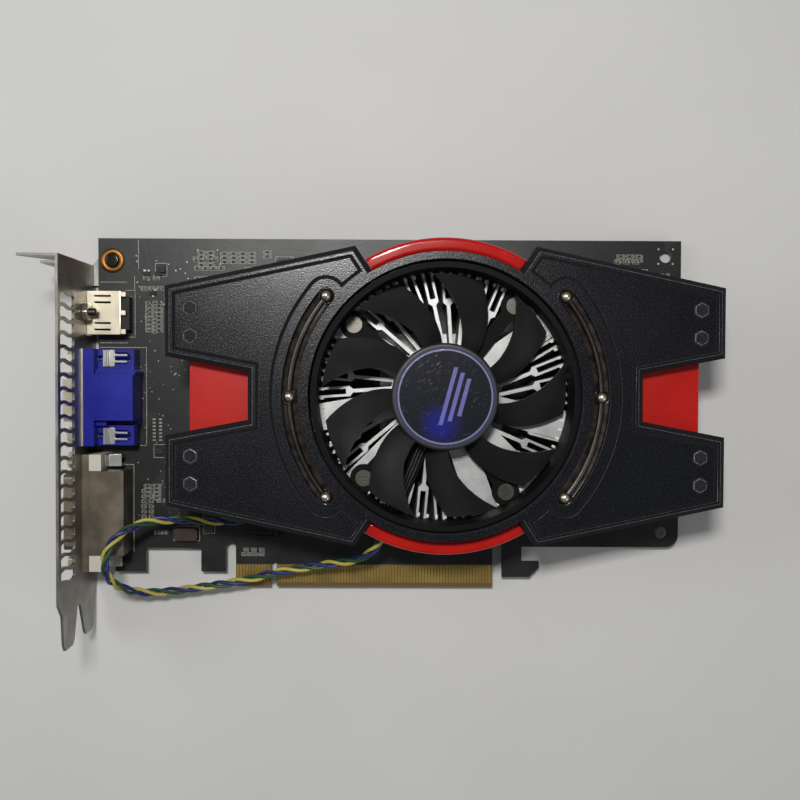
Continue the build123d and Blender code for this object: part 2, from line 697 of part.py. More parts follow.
def fan_frame():
    wall = slab(annulus(frame_outer, frame_inner), sink_top, sink_top + frame_height)
    struts = [Rot(0, 0, a) * rectangle(10, frame_inner + 0.5, -2.2, 2.2) for a in fan_screw_angles + (lead_angle,)]
    bosses = [Rot(0, 0, a) * Pos(fan_screw_circle, 0) * Circle(4.3) for a in fan_screw_angles]
    spider = slab((joined(struts) + bosses) & Circle(frame_inner + 0.5), sink_top, strut_top)
    base = slab(Circle(15.5), sink_top, motor_floor)
    frame = wall + spider + base + slab(annulus(tube_outer, bearing_outer), sink_top, sleeve_top)
    frame = frame - slab(Circle(13.0) - Circle(tube_outer), motor_floor, strut_top + 1)
    holes = [Rot(0, 0, a) * Pos(fan_screw_circle, 0) * Circle(1.25 + play) for a in fan_screw_angles]
    seats = [Rot(0, 0, a) * Pos(fan_screw_circle, 0) * Circle(2.8) for a in fan_screw_angles]
    frame = frame - slab(joined(holes), sink_top - 1, strut_top + 1)
    frame = frame - slab(joined(seats), strut_top - 0.7, strut_top + 2)
    way = Rot(0, 0, lead_angle) * rectangle(12, 50, -2.1, 2.1)
    return at_fan(frame - slab(way, wire_floor, lead_height + 1.0))


def motor_wires():
    """The wires along the strut, from the motor to the twisted lead."""
    wires = []
    start, end = 12.6, frame_outer + rest_gap
    for i in range(wire_count):
        aside = (i - (wire_count - 1) / 2) * (motor_wire + play)
        wire = Pos((start + end) / 2, aside, wire_floor + motor_wire / 2) * Rot(0, 90, 0)
        wires.append(at_fan(Rot(0, 0, lead_angle) * wire * Cylinder(motor_wire / 2, end - start)))
    return group(wires)


def fan_screws():
    screws = []
    for a in fan_screw_angles:
        x, y = spoke(a, fan_screw_circle)
        screw = drum(x, y, 2.6, strut_top - 0.7, strut_top + 0.4)
        screw = screw - block(x - 1.5, x + 1.5, y - 0.3, y + 0.3, strut_top, strut_top + 1)
        screw = screw - block(x - 0.3, x + 0.3, y - 1.5, y + 1.5, strut_top, strut_top + 1)
        screws.append(screw + drum(x, y, 1.25, sink_top - 7, strut_top - 0.7))
    return group(screws)


def frame_screws():
    screws = []
    for a in post_angles:
        x, y = spoke(a, post_circle)
        screws.append(drum(x, y, 2.0, fin_bottom, fin_bottom + 1.4) + drum(x, y, 1.0, fin_bottom + 1.4, plate_bottom + 2))
    return group(screws)


# ---------------------------------------------------------------- shroud
def wing():
    """The right-hand wing of the cover, about the fan's axis."""
    root = ring_outer * math.cos(math.radians(59.4))
    side = ring_outer * math.sin(math.radians(59.4))
    half = [(root, side), (arm_x, cover_half_width), (cover_half_length, cover_end_half),
            (cover_half_length, notch_outer), (notch_floor, notch_inner)]
    return polygon(*half, *[(x, -y) for x, y in reversed(half)])


def cover_outline():
    return wing() + mirror(wing(), Plane.YZ) + Circle(ring_outer)


def accent_slot(width):
    arc = CenterArc((0, 0), accent_radius, -accent_angle, 2 * accent_angle)
    right = SlotArc(arc, width)
    return right + Rot(0, 0, 180) * right


stud_angles = [side + step * accent_angle for side in (0, 180) for step in (-1, 0, 1)]


def stud_places():
    return [Rot(0, 0, a) * Pos(accent_radius, 0) for a in stud_angles]


def cover_panels():
    """The raised field of each wing, inside the bevelled rim and clear of the accents."""
    inside = offset(wing(), -groove_inset, kind=Kind.INTERSECTION)
    right = inside - Circle(ring_outer + 1.5) - accent_slot(10.2)
    return right + mirror(right, Plane.YZ)


def shroud_cover():
    cover = slab(cover_outline(), cover_bottom, cover_top)
    rim = [e for e in cover.edges().group_by(Axis.Z)[-1] if e.geom_type == GeomType.LINE]
    cover = chamfer(rim, cover_bevel)
    cover = cover + slab(annulus(ring_outer, ring_inner - 1), cover_bottom, cover_top + 0.6)
    pocket = offset(wing(), -cover_skin, kind=Kind.INTERSECTION) - Circle(ring_outer)
    pocket = pocket + mirror(pocket, Plane.YZ)
    bosses = [place * Circle(2.4) for place in stud_places()]
    cover = cover - slab(pocket - bosses, cover_bottom - 1, pocket_top)
    cover = cover - slab(accent_slot(5.0), cover_top - 1.2, cover_top + 1)
    field = cover_panels()
    groove = field - offset(field, -groove_width, kind=Kind.INTERSECTION)
    cover = cover - slab(groove, cover_top - groove_depth, cover_top + 1)
    bolts = [Pos(i * 76.2, j * y) * RegularPolygon(2.1, 6) for i in (-1, 1) for j in (-1, 1) for y in (17.9, 26.2)]
    cover = cover + slab(joined(bolts), cover_top - 0.2, cover_top + 0.5)
    cover = cover - slab(joined(place * Circle(0.8 + play) for place in stud_places()), cover_bottom - 1, cover_top + 1)
    return at_fan(cover - slab(Circle(ring_inner), cover_bottom - 1, cover_top + 2))


red_inner = ring_inner + 0.4
red_outer = ring_outer + 4.7
red_rise = 3.0


def red_frame():
    ring = annulus(red_outer, red_inner)
    bars = rectangle(red_outer - 3, plate_reach, -plate_half, plate_half)
    frame = slab(ring + bars + mirror(bars, Plane.YZ), plate_bottom + 2, cover_bottom)
    frame = frame + slab(ring, plate_bottom, cover_bottom)
    frame = frame + slab(joined(Rot(0, 0, a) * Pos(post_circle, 0) * Circle(2.2) for a in post_angles),
                         sink_top, plate_bottom + 2)
    clear = offset(wing(), rest_gap, kind=Kind.INTERSECTION)
    band = annulus(red_outer, ring_outer + 0.4) - clear - mirror(clear, Plane.YZ)
    rim = slab(band, cover_bottom, cover_bottom + red_rise)
    rim = fillet([e for e in rim.edges().group_by(Axis.Z)[-1] if e.geom_type == GeomType.CIRCLE], 1.3)
    frame = frame + rim
    frame = frame - slab(joined(place * Circle(0.8 + play) for place in stud_places()), plate_bottom - 1, cover_bottom + 1)
    frame = frame - slab(joined(Rot(0, 0, a) * Pos(post_circle, 0) * Circle(1.0 + play) for a in post_angles),
                         sink_top - 1, plate_bottom + 2.2)
    return at_fan(frame)


def accent_studs():
    head = Pos(0, 0, cover_top + 0.05) * Sphere(1.55)
    head = head & slab(Circle(3), cover_top - 1.2, cover_top + 3)
    stud = head + slab(Circle(0.8), plate_bottom + 0.4, cover_top)
    return group(at_fan(place * stud) for place in stud_places())


def accent_rods():
    rods = []
    r = rod_diameter / 2
    level = cover_top - 1.2 + r
    hole = slab(joined(place * Circle(1.65) for place in stud_places()), cover_top - 2, cover_top + 3)
    for side in (0, 180):
        path = CenterArc((0, 0, level), accent_radius, side - accent_angle, 2 * accent_angle)
        rod = sweep(Plane(origin=path @ 0, z_dir=path % 0) * Circle(r), path=path)
        rods.append(at_fan(rod - hole))
    return group(rods)


# ---------------------------------------------------------------- parts on the board
def memory_chips():
    places = [(-28.0, 8.6), (-28.0, -8.6), (-9.0, 28.0), (9.0, 28.0)]
    chips = []
    for x, y in places:
        wide, deep = (12, 14) if abs(x) > abs(y) else (14, 12)
        chips.append(at_fan(block(x - wide / 2, x + wide / 2, y - deep / 2, y + deep / 2, 0, 1.1)))
    return group(chips)


def can(x, y, radius, height):
    base = block(x - radius, x + radius, y - radius, y + radius, 0, 0.8)
    body = drum(x, y, radius - 0.2, 0.8, height)
    return base + fillet(body.edges().group_by(Axis.Z)[-1], 0.5)


def capacitors():
    places = [(134.5, 36.0 + 11.5 * i) for i in range(6)] + [(-10.0, 46.0 + 10.5 * i) for i in range(4)]
    places += [(8.0, 84.5), (8.0, 95.0)]
    return group(can(x, y, 3.9, 8.2) for x, y in places)


def inductors():
    cores = []
    for i in range(4):
        y = 38.0 + 14.5 * i
        core = fillet(block(118.5, 128.5, y - 5, y + 5, 0, 7).edges().filter_by(Axis.Z), 0.8)
        cores.append(core)
    return group(cores)


def mosfets():
    return group(block(139.6, 144.6, 33.0 + 9.0 * i, 39.0 + 9.0 * i, 0, 1.1) for i in range(7))


def moulded_capacitors():
    brown = fillet(block(-20.2, -12.4, 15.6, 19.6, 0, 2.6).edges().filter_by(Axis.Z), 1.2)
    orange = block(-10.4, -7.4, 18.0, 24.0, 0, 1.2)
    return group([brown, orange])


def chip_row(x, y, count, pitch, size, along_y=False):
    length, width, height = size
    chips = []
    for i in range(count):
        cx, cy = (x, y + i * pitch) if along_y else (x + i * pitch, y)
        half = (width / 2, length / 2) if along_y else (length / 2, width / 2)
        chips.append(block(cx - half[0], cx + half[0], cy - half[1], cy + half[1], 0, height))
    return chips


resistor = (1.6, 0.8, 0.45)
ceramic = (1.6, 0.85, 0.8)
small = (1.0, 0.5, 0.5)


def chip_resistors():
    chips = chip_row(-29.0, 85.0, 8, 1.25, (0.5, 1.0, 0.35), True)
    chips += chip_row(-26.6, 84.4, 9, 1.2, (0.5, 1.0, 0.35), True)
    chips += chip_row(-12.6, 102.0, 4, 2.6, resistor) + chip_row(-12.6, 105.4, 4, 2.6, resistor)
    chips += chip_row(3.5, 101.5, 3, 2.5, resistor)
    chips += chip_row(-30.4, 21.5, 7, 1.7, (0.5, 1.0, 0.35), True)
    chips += chip_row(-28.0, 21.5, 6, 1.7, (0.5, 1.0, 0.35), True)
    chips += chip_row(125.4, 105.0, 5, 2.4, resistor) + chip_row(137.0, 103.5, 4, 1.9, (0.6, 1.0, 0.35))
    return group(chips)


def chip_capacitors():
    chips = chip_row(-30.2, 98.6, 3, 2.6, ceramic) + chip_row(-29.4, 102.2, 2, 3.2, ceramic)
    chips += chip_row(-13.0, 108.4, 3, 3.0, ceramic) + chip_row(4.0, 105.0, 3, 2.6, ceramic)
    chips += chip_row(2.6, 10.8, 4, 2.0, small) + chip_row(3.4, 12.3, 3, 2.6, small)
    chips += chip_row(-26.0, 18.0, 2, 2.4, ceramic) + chip_row(-25.4, 28.5, 2, 2.2, small)
    chips += chip_row(126.0, 108.2, 3, 3.0, ceramic)
    # a ring of them round the graphics chip, clear of its corners
    chips += [at_fan(Rot(0, 0, a) * block(17.2, 18.2, -0.4, 0.4, 0, 0.5)) for a in range(0, 360, 15) if a % 90 != 45]
    return group(chips)


def small_chips():
    """Two six-legged regulators, a flash chip and a controller, as bodies with legs."""
    chips = []
    for x, y, wide, deep, legs in ((-25.2, 45.0, 3.0, 1.7, 3), (-24.6, 104.8, 3.0, 1.7, 3),
                                   (16.0, 106.0, 5.0, 4.0, 4), (-2.0, 96.0, 5.0, 5.0, 4)):
        chip = block(x - wide / 2, x + wide / 2, y - deep / 2, y + deep / 2, 0.15, 1.2)
        for i in range(legs):
            lx = x + (i - (legs - 1) / 2) * 1.0
            chip = chip + block(lx - 0.2, lx + 0.2, y - deep / 2 - 0.9, y + deep / 2 + 0.9, 0, 0.3)
        chips.append(chip)
    return group(chips)


def clock_crystal():
    plate = slab(Pos(26.0, 99.0) * SlotOverall(11.0, 4.6), 0, 0.5)
    can_body = fillet(slab(Pos(26.0, 99.0) * SlotOverall(10.2, 3.8), 0.5, 3.4).edges().group_by(Axis.Z)[-1], 0.5)
    return plate + can_body


header_x = 7.5
header_y = 22.3
header_wide = 10.6
plug_reach = 4.5                # of the plug, out of its header


def fan_header():
    body = block(header_x, header_x + 7.0, header_y - header_wide / 2, header_y + header_wide / 2, 0, 5.6)
    mouth = block(header_x - 1, header_x + 5.6, header_y - header_wide / 2 + 0.8,
                  header_y + header_wide / 2 - 0.8, 0.9, 6.6)
    return body - mouth


def fan_plug():
    half = header_wide / 2 - 0.9
    body = block(header_x - plug_reach, header_x + 5.4, header_y - half, header_y + half, 1.0, 5.2)
    ribs = [block(header_x - 3.6, header_x + 4.2, header_y + i * 2.0 - 0.35, header_y + i * 2.0 + 0.35, 5.2, 5.6)
            for i in (-1.5, -0.5, 0.5, 1.5)]
    return body + ribs


def solder_joints():
    """The soldered pins of the sockets, on the back of the board."""
    places = [(x, dvi_y - 7.6 + i * 1.905) for x in (-38.6, -36.7, -34.8) for i in range(9)]
    places += [(x, vga_y - 5.7 + i * 2.29) for x in (-36.6, -34.1, -31.6) for i in range(6)]
    places += [(-37.0, y) for y in (vga_y - 12.5, vga_y + 12.5, dvi_y - 16.4, dvi_y + 16.4)]
    places += [(x, hdmi_y + side * 7.2) for x in (-44.0, -38.4) for side in (-1, 1)]
    places += [(header_x + 6.3, header_y + i * 2.0) for i in (-1.5, -0.5, 0.5, 1.5)]
    return group(Pos(x, y, board_back - 0.5) * Cone(0.4, 0.75, 1.0) for x, y in places)


# ---------------------------------------------------------------- fan lead
def lead_route():
    out = spoke(lead_angle, frame_outer + 0.4)
    return [(out[0], out[1], lead_height), (48.2, 17.0, 19.3), (41.2, 11.2, 12.6), (29.0, 8.6, 7.2),
            (15.6, 6.2, 5.4), (2.2, 2.6, 4.6), (-10.4, 0.5, 3.2), (-21.2, -1.1, 3.0),
            (-29.8, -1.2, 4.8), (-35.6, 1.4, 10.0), (-38.2, 6.2, 16.8), (-38.6, 13.4, 18.6),
            (-34.6, 20.0, 17.8), (-26.8, 23.8, 13.4), (-17.6, 23.4, 8.4), (-8.4, header_y, 4.4),
            (header_x - plug_reach, header_y, 3.7)]


def fan_lead():
    points = [Vector(*p) for p in lead_route()]
    runs = [(b - a) for a, b in zip(points, points[1:])]
    radii = []
    for before, after in zip(runs, runs[1:]):
        half_turn = math.radians(before.get_angle(after)) / 2
        radii.append(0.45 * min(before.length, after.length) / math.tan(half_turn))
    path = FilletPolyline(*points, radius=radii)
    tube = sweep(Plane(origin=path @ 0, z_dir=path % 0) * Circle(lead_diameter / 2), path=path)
    print("lead radii", " ".join(f"{r:.1f}" for r in radii))
    print("lead runs", " ".join(f"{r.length:.1f}" for r in runs))
    print(f"lead length {path.length:.1f}, volume over section {tube.volume / (math.pi * lead_diameter ** 2 / 4):.1f}")
    return tube


# ---------------------------------------------------------------- the whole card
nodes = {f.__name__: f for f in (
    circuit_board, edge_contacts, solder_joints, mounting_bracket, ground_screw,
    hdmi_shell, hdmi_core, hdmi_contacts, hdmi_screw, hdmi_nut,
    vga_shell, vga_housing, vga_board_locks, dvi_shell, dvi_insulator, dvi_board_locks, jack_screws,
    gpu_substrate, gpu_die, thermal_paste, memory_chips, capacitors, moulded_capacitors, inductors,
    mosfets, small_chips, chip_resistors, chip_capacitors, clock_crystal, fan_header, fan_plug, fan_lead,
    heat_sink, spring_screws, screw_washers, fan_frame, fan_screws, motor_wires, fan_motor_board,
    stator_core, stator_windings, fan_bearing, fan_rotor, hub_label, fan_shaft, rotor_yoke, rotor_magnet,
    red_frame, frame_screws, shroud_cover, accent_rods, accent_studs)}

os.makedirs("parts", exist_ok=True)
for name, make in nodes.items():
    shape = Pos(-middle_x, -middle_y, -floor) * make()
    export_step(shape, f"parts/{name}.step")
print(f"origin in the card's frame: {middle_x:.3f} {middle_y:.3f} {floor:.3f}")
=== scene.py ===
import bpy
import bmesh
import json
import math
import random
from mathutils import Matrix, Vector

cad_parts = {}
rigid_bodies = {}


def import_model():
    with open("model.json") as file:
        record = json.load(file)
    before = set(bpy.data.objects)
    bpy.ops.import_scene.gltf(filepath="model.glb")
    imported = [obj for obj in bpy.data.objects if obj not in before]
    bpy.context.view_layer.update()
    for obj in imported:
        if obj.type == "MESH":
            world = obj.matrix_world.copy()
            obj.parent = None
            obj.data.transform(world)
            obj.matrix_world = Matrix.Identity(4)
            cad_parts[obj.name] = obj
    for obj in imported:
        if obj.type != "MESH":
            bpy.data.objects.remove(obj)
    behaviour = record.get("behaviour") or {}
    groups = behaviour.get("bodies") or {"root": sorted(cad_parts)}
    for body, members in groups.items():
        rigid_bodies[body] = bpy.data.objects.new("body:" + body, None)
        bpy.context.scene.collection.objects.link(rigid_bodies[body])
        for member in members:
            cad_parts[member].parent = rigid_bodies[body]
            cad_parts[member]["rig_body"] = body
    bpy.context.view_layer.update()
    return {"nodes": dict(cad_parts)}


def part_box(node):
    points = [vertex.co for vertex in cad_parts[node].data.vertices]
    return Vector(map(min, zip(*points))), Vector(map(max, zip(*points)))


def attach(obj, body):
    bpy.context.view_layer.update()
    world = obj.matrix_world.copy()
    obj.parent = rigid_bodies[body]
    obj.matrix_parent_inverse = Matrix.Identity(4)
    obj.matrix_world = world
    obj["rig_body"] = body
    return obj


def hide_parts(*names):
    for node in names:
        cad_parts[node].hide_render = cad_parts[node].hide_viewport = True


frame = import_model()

mm = 0.001
weld = 0.002 * mm
nodes = frame["nodes"]

# places that everything else is measured from
rotorLow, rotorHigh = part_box("fan_rotor")
fanAxis = (rotorLow + rotorHigh) / 2
boardLow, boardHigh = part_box("circuit_board")
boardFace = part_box("memory_chips")[0].z
boardBack = boardLow.z
contactLow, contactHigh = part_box("edge_contacts")
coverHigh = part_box("shroud_cover")[1]
coverTop = coverHigh.z - 0.6 * mm
print("frame loaded:", len(nodes), "nodes")

camera = bpy.data.objects.new("camera", bpy.data.cameras.new("camera"))
bpy.context.scene.collection.objects.link(camera)
camera.location = (0.005694, 0.020326, 0.337265)
camera.rotation_mode = "ZYX"
camera.rotation_euler = (math.radians(-1.503), math.radians(-0.421), math.radians(0.234))
camera.data.lens = 45.30
camera.data.sensor_width = 36
camera.data.clip_start = 0.01
bpy.context.scene.camera = camera

lamps = {
    "ceiling": {"place": (-0.05, 0.20, 0.60), "size": (0.11, 0.07),
                "power": 2.75, "colour": (1.0, 0.985, 0.96)},
    "window": {"place": (-0.75, 0.20, 0.50), "size": (0.5, 0.4),
               "power": 1.7, "colour": (0.93, 0.97, 1.0)},
    "fill": {"place": (0.75, -0.50, 0.70), "size": (0.5, 0.5),
             "power": 1.5, "colour": (1.0, 0.97, 0.93)},
}
for name, lamp in lamps.items():
    data = bpy.data.lights.new(name, "AREA")
    data.shape = "RECTANGLE"
    data.size, data.size_y = lamp["size"]
    data.energy = lamp["power"]
    data.color = lamp["colour"]
    light = bpy.data.objects.new(name, data)
    light.location = lamp["place"]
    light.rotation_euler = (-light.location).to_track_quat("-Z", "Y").to_euler()
    bpy.context.scene.collection.objects.link(light)

world = bpy.data.worlds.new("studio")
world.use_nodes = True
sky = world.node_tree.nodes["Background"].inputs
sky["Color"].default_value = (0.90, 0.95, 1.0, 1)
sky["Strength"].default_value = 0.16
bpy.context.scene.world = world
bpy.context.scene.view_settings.view_transform = "Standard"
print("camera and lamps set:", len(lamps), "lamps")


class Value:
    # a node's output that takes part in Python expressions
    def __init__(self, finish, out):
        self.finish, self.out = finish, out

    def maths(self, operation, *values):
        return self.finish.add("ShaderNodeMath", {"operation": operation}, dict(enumerate(values)))

    def __add__(self, other):
        return self.maths("ADD", self, other)

    def __sub__(self, other):
        return self.maths("SUBTRACT", self, other)

    def __rsub__(self, other):
        return self.maths("SUBTRACT", other, self)

    def __mul__(self, other):
        return self.maths("MULTIPLY", self, other)

    def __truediv__(self, other):
        return self.maths("DIVIDE", self, other)

    __radd__ = __add__

    def above(self, edge, soft=0.02):
        # 0 below the edge, 1 above it
        return self.finish.add("ShaderNodeMapRange", {"interpolation_type": "SMOOTHSTEP"},
                               {"Value": self, "From Min": edge - soft, "From Max": edge + soft})

    def within(self, low, high, soft=0.02):
        # 1 between the two edges, 0 outside them
        return self.above(low, soft) * (1 - self.above(high, soft))


class Finish:
    # one material: a principled shader and the few nodes that feed it
    def __init__(self, name, colour, roughness, **settings):
        self.material = bpy.data.materials.new(name.replace("_", " "))
        self.material.use_nodes = True
        self.tree = self.material.node_tree
        self.shader = self.tree.nodes["Principled BSDF"]
        self.feed(self.shader, {"Base Color": colour, "Roughness": roughness})
        self.feed(self.shader, settings)
        self.place = self.add("ShaderNodeTexCoord", {}, {}, "Object")
        self.split = self.add("ShaderNodeSeparateXYZ", {}, {"Vector": self.place}, None)

    def feed(self, node, values):
        # links a value to its socket, or sets a constant on it
        for key, value in values.items():
            if isinstance(value, Value):
                self.tree.links.new(value.out, node.inputs[key])
            else:
                node.inputs[key].default_value = value

    def add(self, kind, settings, inputs, output=0):
        # a new node; all its outputs when output is None
        node = self.tree.nodes.new(kind)
        for key, value in settings.items():
            setattr(node, key, value)
        self.feed(node, inputs)
        if output is None:
            return [Value(self, out) for out in node.outputs]
        return Value(self, node.outputs[output])

    def noise(self, size, detail=3.0, stretch=(1, 1, 1), vector=None):
        # a noise whose lumps are about size metres across
        moved = self.add("ShaderNodeMapping", {}, {"Vector": vector or self.place, "Scale": stretch})
        return self.add("ShaderNodeTexNoise", {}, {"Vector": moved, "Scale": 1 / size, "Detail": detail})

    def cells(self, size, feature="F1", output="Distance", randomness=1.0, distance="EUCLIDEAN"):
        return self.add("ShaderNodeTexVoronoi", {"feature": feature, "distance": distance},
                        {"Vector": self.place, "Scale": 1 / size, "Randomness": randomness}, output)

    def sine(self, value):
        return self.add("ShaderNodeMath", {"operation": "SINE"}, {0: value})

    def mix(self, factor, one, two):
        return self.add("ShaderNodeMix", {"data_type": "RGBA"}, {0: factor, 6: one, 7: two}, 2)

    def length(self, vector):
        return self.add("ShaderNodeVectorMath", {"operation": "LENGTH"}, {0: vector}, "Value")

    def around(self, place, turn):
        # coordinates about a place, turned about Z
        return self.add("ShaderNodeMapping", {"vector_type": "TEXTURE"},
                        {"Vector": self.place, "Location": place, "Rotation": (0, 0, turn)})

    def paint(self, **values):
        names = {"colour": "Base Color", "roughness": "Roughness", "metallic": "Metallic"}
        self.feed(self.shader, {names[key]: value for key, value in values.items()})

    def bump(self, height, depth):
        inputs = {"Height": height, "Distance": depth, "Strength": 1.0}
        self.feed(self.shader, {"Normal": self.add("ShaderNodeBump", {}, inputs, "Normal")})


def tone(red, green, blue):
    # a colour as the eye sees it, 0 to 255, made linear for the shader
    return (*[((c / 255 + 0.055) / 1.055) ** 2.4 if c > 10 else c / 255 / 12.92
              for c in (red, green, blue)], 1)


def shade(colour, factor, lift=0.0):
    # the same colour, darker or lighter
    return (*[min(1, c * factor + lift) for c in colour[:3]], 1)


finishes = {}


def keep(slot, finish):
    finishes[slot] = finish.material
    return finish


def plastic(slot, colour, roughness, grain=0.35 * mm, depth=0.02 * mm, shift=0.35, gloss=0.5):
    # moulded plastic: a fine spark grain, and a slow drift of tone and gloss
    f = Finish(slot, colour, roughness)
    f.feed(f.shader, {"Specular IOR Level": gloss})
    slow = f.noise(14 * mm, 4)
    fine = f.noise(grain, 2)
    f.paint(colour=f.mix(slow.above(0.5, 0.28), shade(colour, 1 - shift), shade(colour, 1 + shift, 0.002)),
            roughness=roughness - 0.06 + slow * 0.12 + fine * 0.05)
    f.bump(fine, depth)
    return keep(slot, f)


def coverPlastic(slot):
    # spark-eroded black plastic: sandy all over, with painted shade below its top face and at the foot of its
    # raised parts, and a painted highlight along its edges
    f = Finish(slot, tone(10, 11, 17), 0.25)
    f.feed(f.shader, {"Specular IOR Level": 0.42})
    z = f.split[2]
    slow = f.noise(14 * mm, 4)
    sand = f.noise(0.44 * mm, 1)
    grit = sand.above(0.56, 0.06)
    # painted shade: all that lies below the top face, grooves and side walls alike, made near black
    sunkShade = 1 - z.above(coverTop - 0.18 * mm, 0.04 * mm)
    # painted highlight: light bands along the top face's edges and the rims of its raised parts, speckled by
    # the grit
    edge = z.within(coverTop - 0.16 * mm, coverTop - 0.02 * mm, 0.02 * mm) \
        + z.within(coverTop + 0.42 * mm, coverTop + 0.56 * mm, 0.03 * mm)
    dust = 1 - f.cells(2.4 * mm).above(0.04, 0.012)
    # painted shade at the foot of the raised parts on the top face
    foot = z.within(coverTop + 0.04 * mm, coverTop + 0.24 * mm, 0.02 * mm)
    colour = f.mix(slow.above(0.5, 0.28), tone(6, 7, 12), tone(11, 12, 18))
    colour = f.mix(grit * 0.5, colour, tone(26, 27, 34))
    colour = f.mix(dust * 0.5, colour, tone(120, 120, 124))
    colour = f.mix(edge * (0.45 + grit * 0.55), colour, tone(112, 114, 122))
    colour = f.mix(sunkShade, colour, tone(4, 4, 6))
    colour = f.mix(foot, colour, tone(2, 2, 3))
    f.paint(colour=colour, roughness=0.18 + slow * 0.05 + grit * 0.08 + sunkShade * 0.7 + foot * 0.5)
    f.bump(sand, 0.026 * mm)
    return keep(slot, f)


def redPlastic(slot):
    # red moulding: satin and dusty on its flat fields, polished on its two raised arcs
    f = Finish(slot, tone(178, 24, 17), 0.3)
    f.feed(f.shader, {"Specular IOR Level": 0.36})
    polished = f.split[2].above(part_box("red_frame")[1].z - 2.6 * mm, 0.2 * mm)
    sand = f.noise(0.4 * mm, 2)
    dust = (1 - f.cells(1.5 * mm).above(0.06, 0.02)) * (1 - polished)
    colour = f.mix(f.noise(12 * mm, 4).above(0.5, 0.3), tone(166, 18, 12), tone(180, 24, 16))
    colour = f.mix(dust * 0.4, colour, tone(206, 130, 118))
    f.paint(colour=colour, roughness=0.26 + sand * 0.05 - polished * 0.14)
    f.bump(sand * (1 - polished), 0.02 * mm)
    return keep(slot, f)


def metal(slot, colour, roughness, drawn=(1, 1, 1), size=0.4 * mm, depth=0.004 * mm, stain=0.25):
    # sheet or turned metal: drawn lines in one direction, faint stains
    f = Finish(slot, colour, roughness, Metallic=1.0)
    lines = f.noise(size, 3, drawn)
    stains = f.noise(9 * mm, 5)
    f.paint(colour=f.mix(stains.above(0.52, 0.2), shade(colour, 1 - stain), colour),
            roughness=roughness - 0.08 + stains * 0.1 + lines * 0.12)
    f.bump(lines, depth)
    return keep(slot, f)


def bracketSteel(slot):
    # brushed sheet steel with a brown heat stain near its top flange
    f = Finish(slot, tone(150, 148, 142), 0.36, Metallic=1.0)
    lines = f.noise(0.4 * mm, 3, (1, 0.05, 1))
    drift = f.noise(7 * mm, 5)
    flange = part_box("mounting_bracket")[1].y
    near = f.split[1].above(flange - 8 * mm, 5 * mm) * drift.above(0.56, 0.08) * 0.8
    colour = f.mix(drift.above(0.52, 0.2), tone(128, 126, 120), tone(160, 158, 152))
    colour = f.mix(near, colour, tone(92, 68, 48))
    f.paint(colour=colour, roughness=0.28 + drift * 0.12 + lines * 0.12)
    f.bump(lines, 0.005 * mm)
    return keep(slot, f)


def chipBody(slot, colour, roughness=0.55):
    # moulded epoxy: a sandy face
    f = Finish(slot, colour, roughness)
    sand = f.noise(0.18 * mm, 2)
    slow = f.noise(5 * mm, 3)
    f.feed(f.shader, {"Specular IOR Level": 0.36})
    f.paint(colour=f.mix(slow.above(0.5, 0.3) * 0.6 + sand * 0.3, colour, shade(colour, 1.5, 0.004)),
            roughness=roughness + sand * 0.12)
    f.bump(sand, 0.012 * mm)
    return keep(slot, f)


def solderMask(slot):
    # black lacquer over copper: pours, fine parallel tracks, and rows of tented holes
    f = Finish(slot, tone(18, 20, 20), 0.34)
    f.feed(f.shader, {"Specular IOR Level": 0.36})
    x, y = f.split[:2]
    pours = f.cells(9 * mm, "DISTANCE_TO_EDGE", "Distance", randomness=0.8)
    gap = 1 - pours.above(0.035, 0.012)
    region = f.cells(11 * mm, "F1", "Color", distance="MANHATTAN")
    choose = f.add("ShaderNodeSeparateColor", {}, {0: region}, None)
    upright = choose[0].above(0.5, 0.001)
    waves = 2 * math.pi / (0.62 * mm)
    lanes = f.sine(x * waves) * upright + f.sine((y + x) * waves * 0.7071) * (1 - upright)
    tracks = lanes.above(0.25, 0.2) * choose[1].above(0.42, 0.01)
    holes = f.cells(2.6 * mm, randomness=0.35)
    ring = holes.within(0.045, 0.12, 0.015)
    hole = 1 - holes.above(0.05, 0.012)
    speck = f.noise(0.12 * mm, 2)
    slow = f.noise(20 * mm, 3)
    colour = f.mix(slow.above(0.5, 0.3), tone(12, 13, 15), tone(19, 21, 22))
    colour = f.mix(tracks * 0.7 + gap * 0.12, colour, tone(34, 36, 35))
    colour = f.mix(ring * choose[2].above(0.55, 0.01), colour, tone(92, 88, 74))
    colour = f.mix(hole, colour, tone(8, 8, 8))
    bare = x.within(contactLow.x - 0.7 * mm, contactHigh.x + 0.7 * mm, 0.05 * mm) \
        * (1 - y.above(contactHigh.y + 0.3 * mm, 0.05 * mm))
    colour = f.mix(bare, colour, f.mix(speck, tone(84, 68, 36), tone(122, 100, 56)))
    f.paint(colour=colour, roughness=0.3 + speck * 0.1 + slow * 0.08)
    f.bump(tracks * 0.6 - gap * 0.25 + ring * 0.8 - hole + speck * 0.2, 0.02 * mm)
    return keep(slot, f)


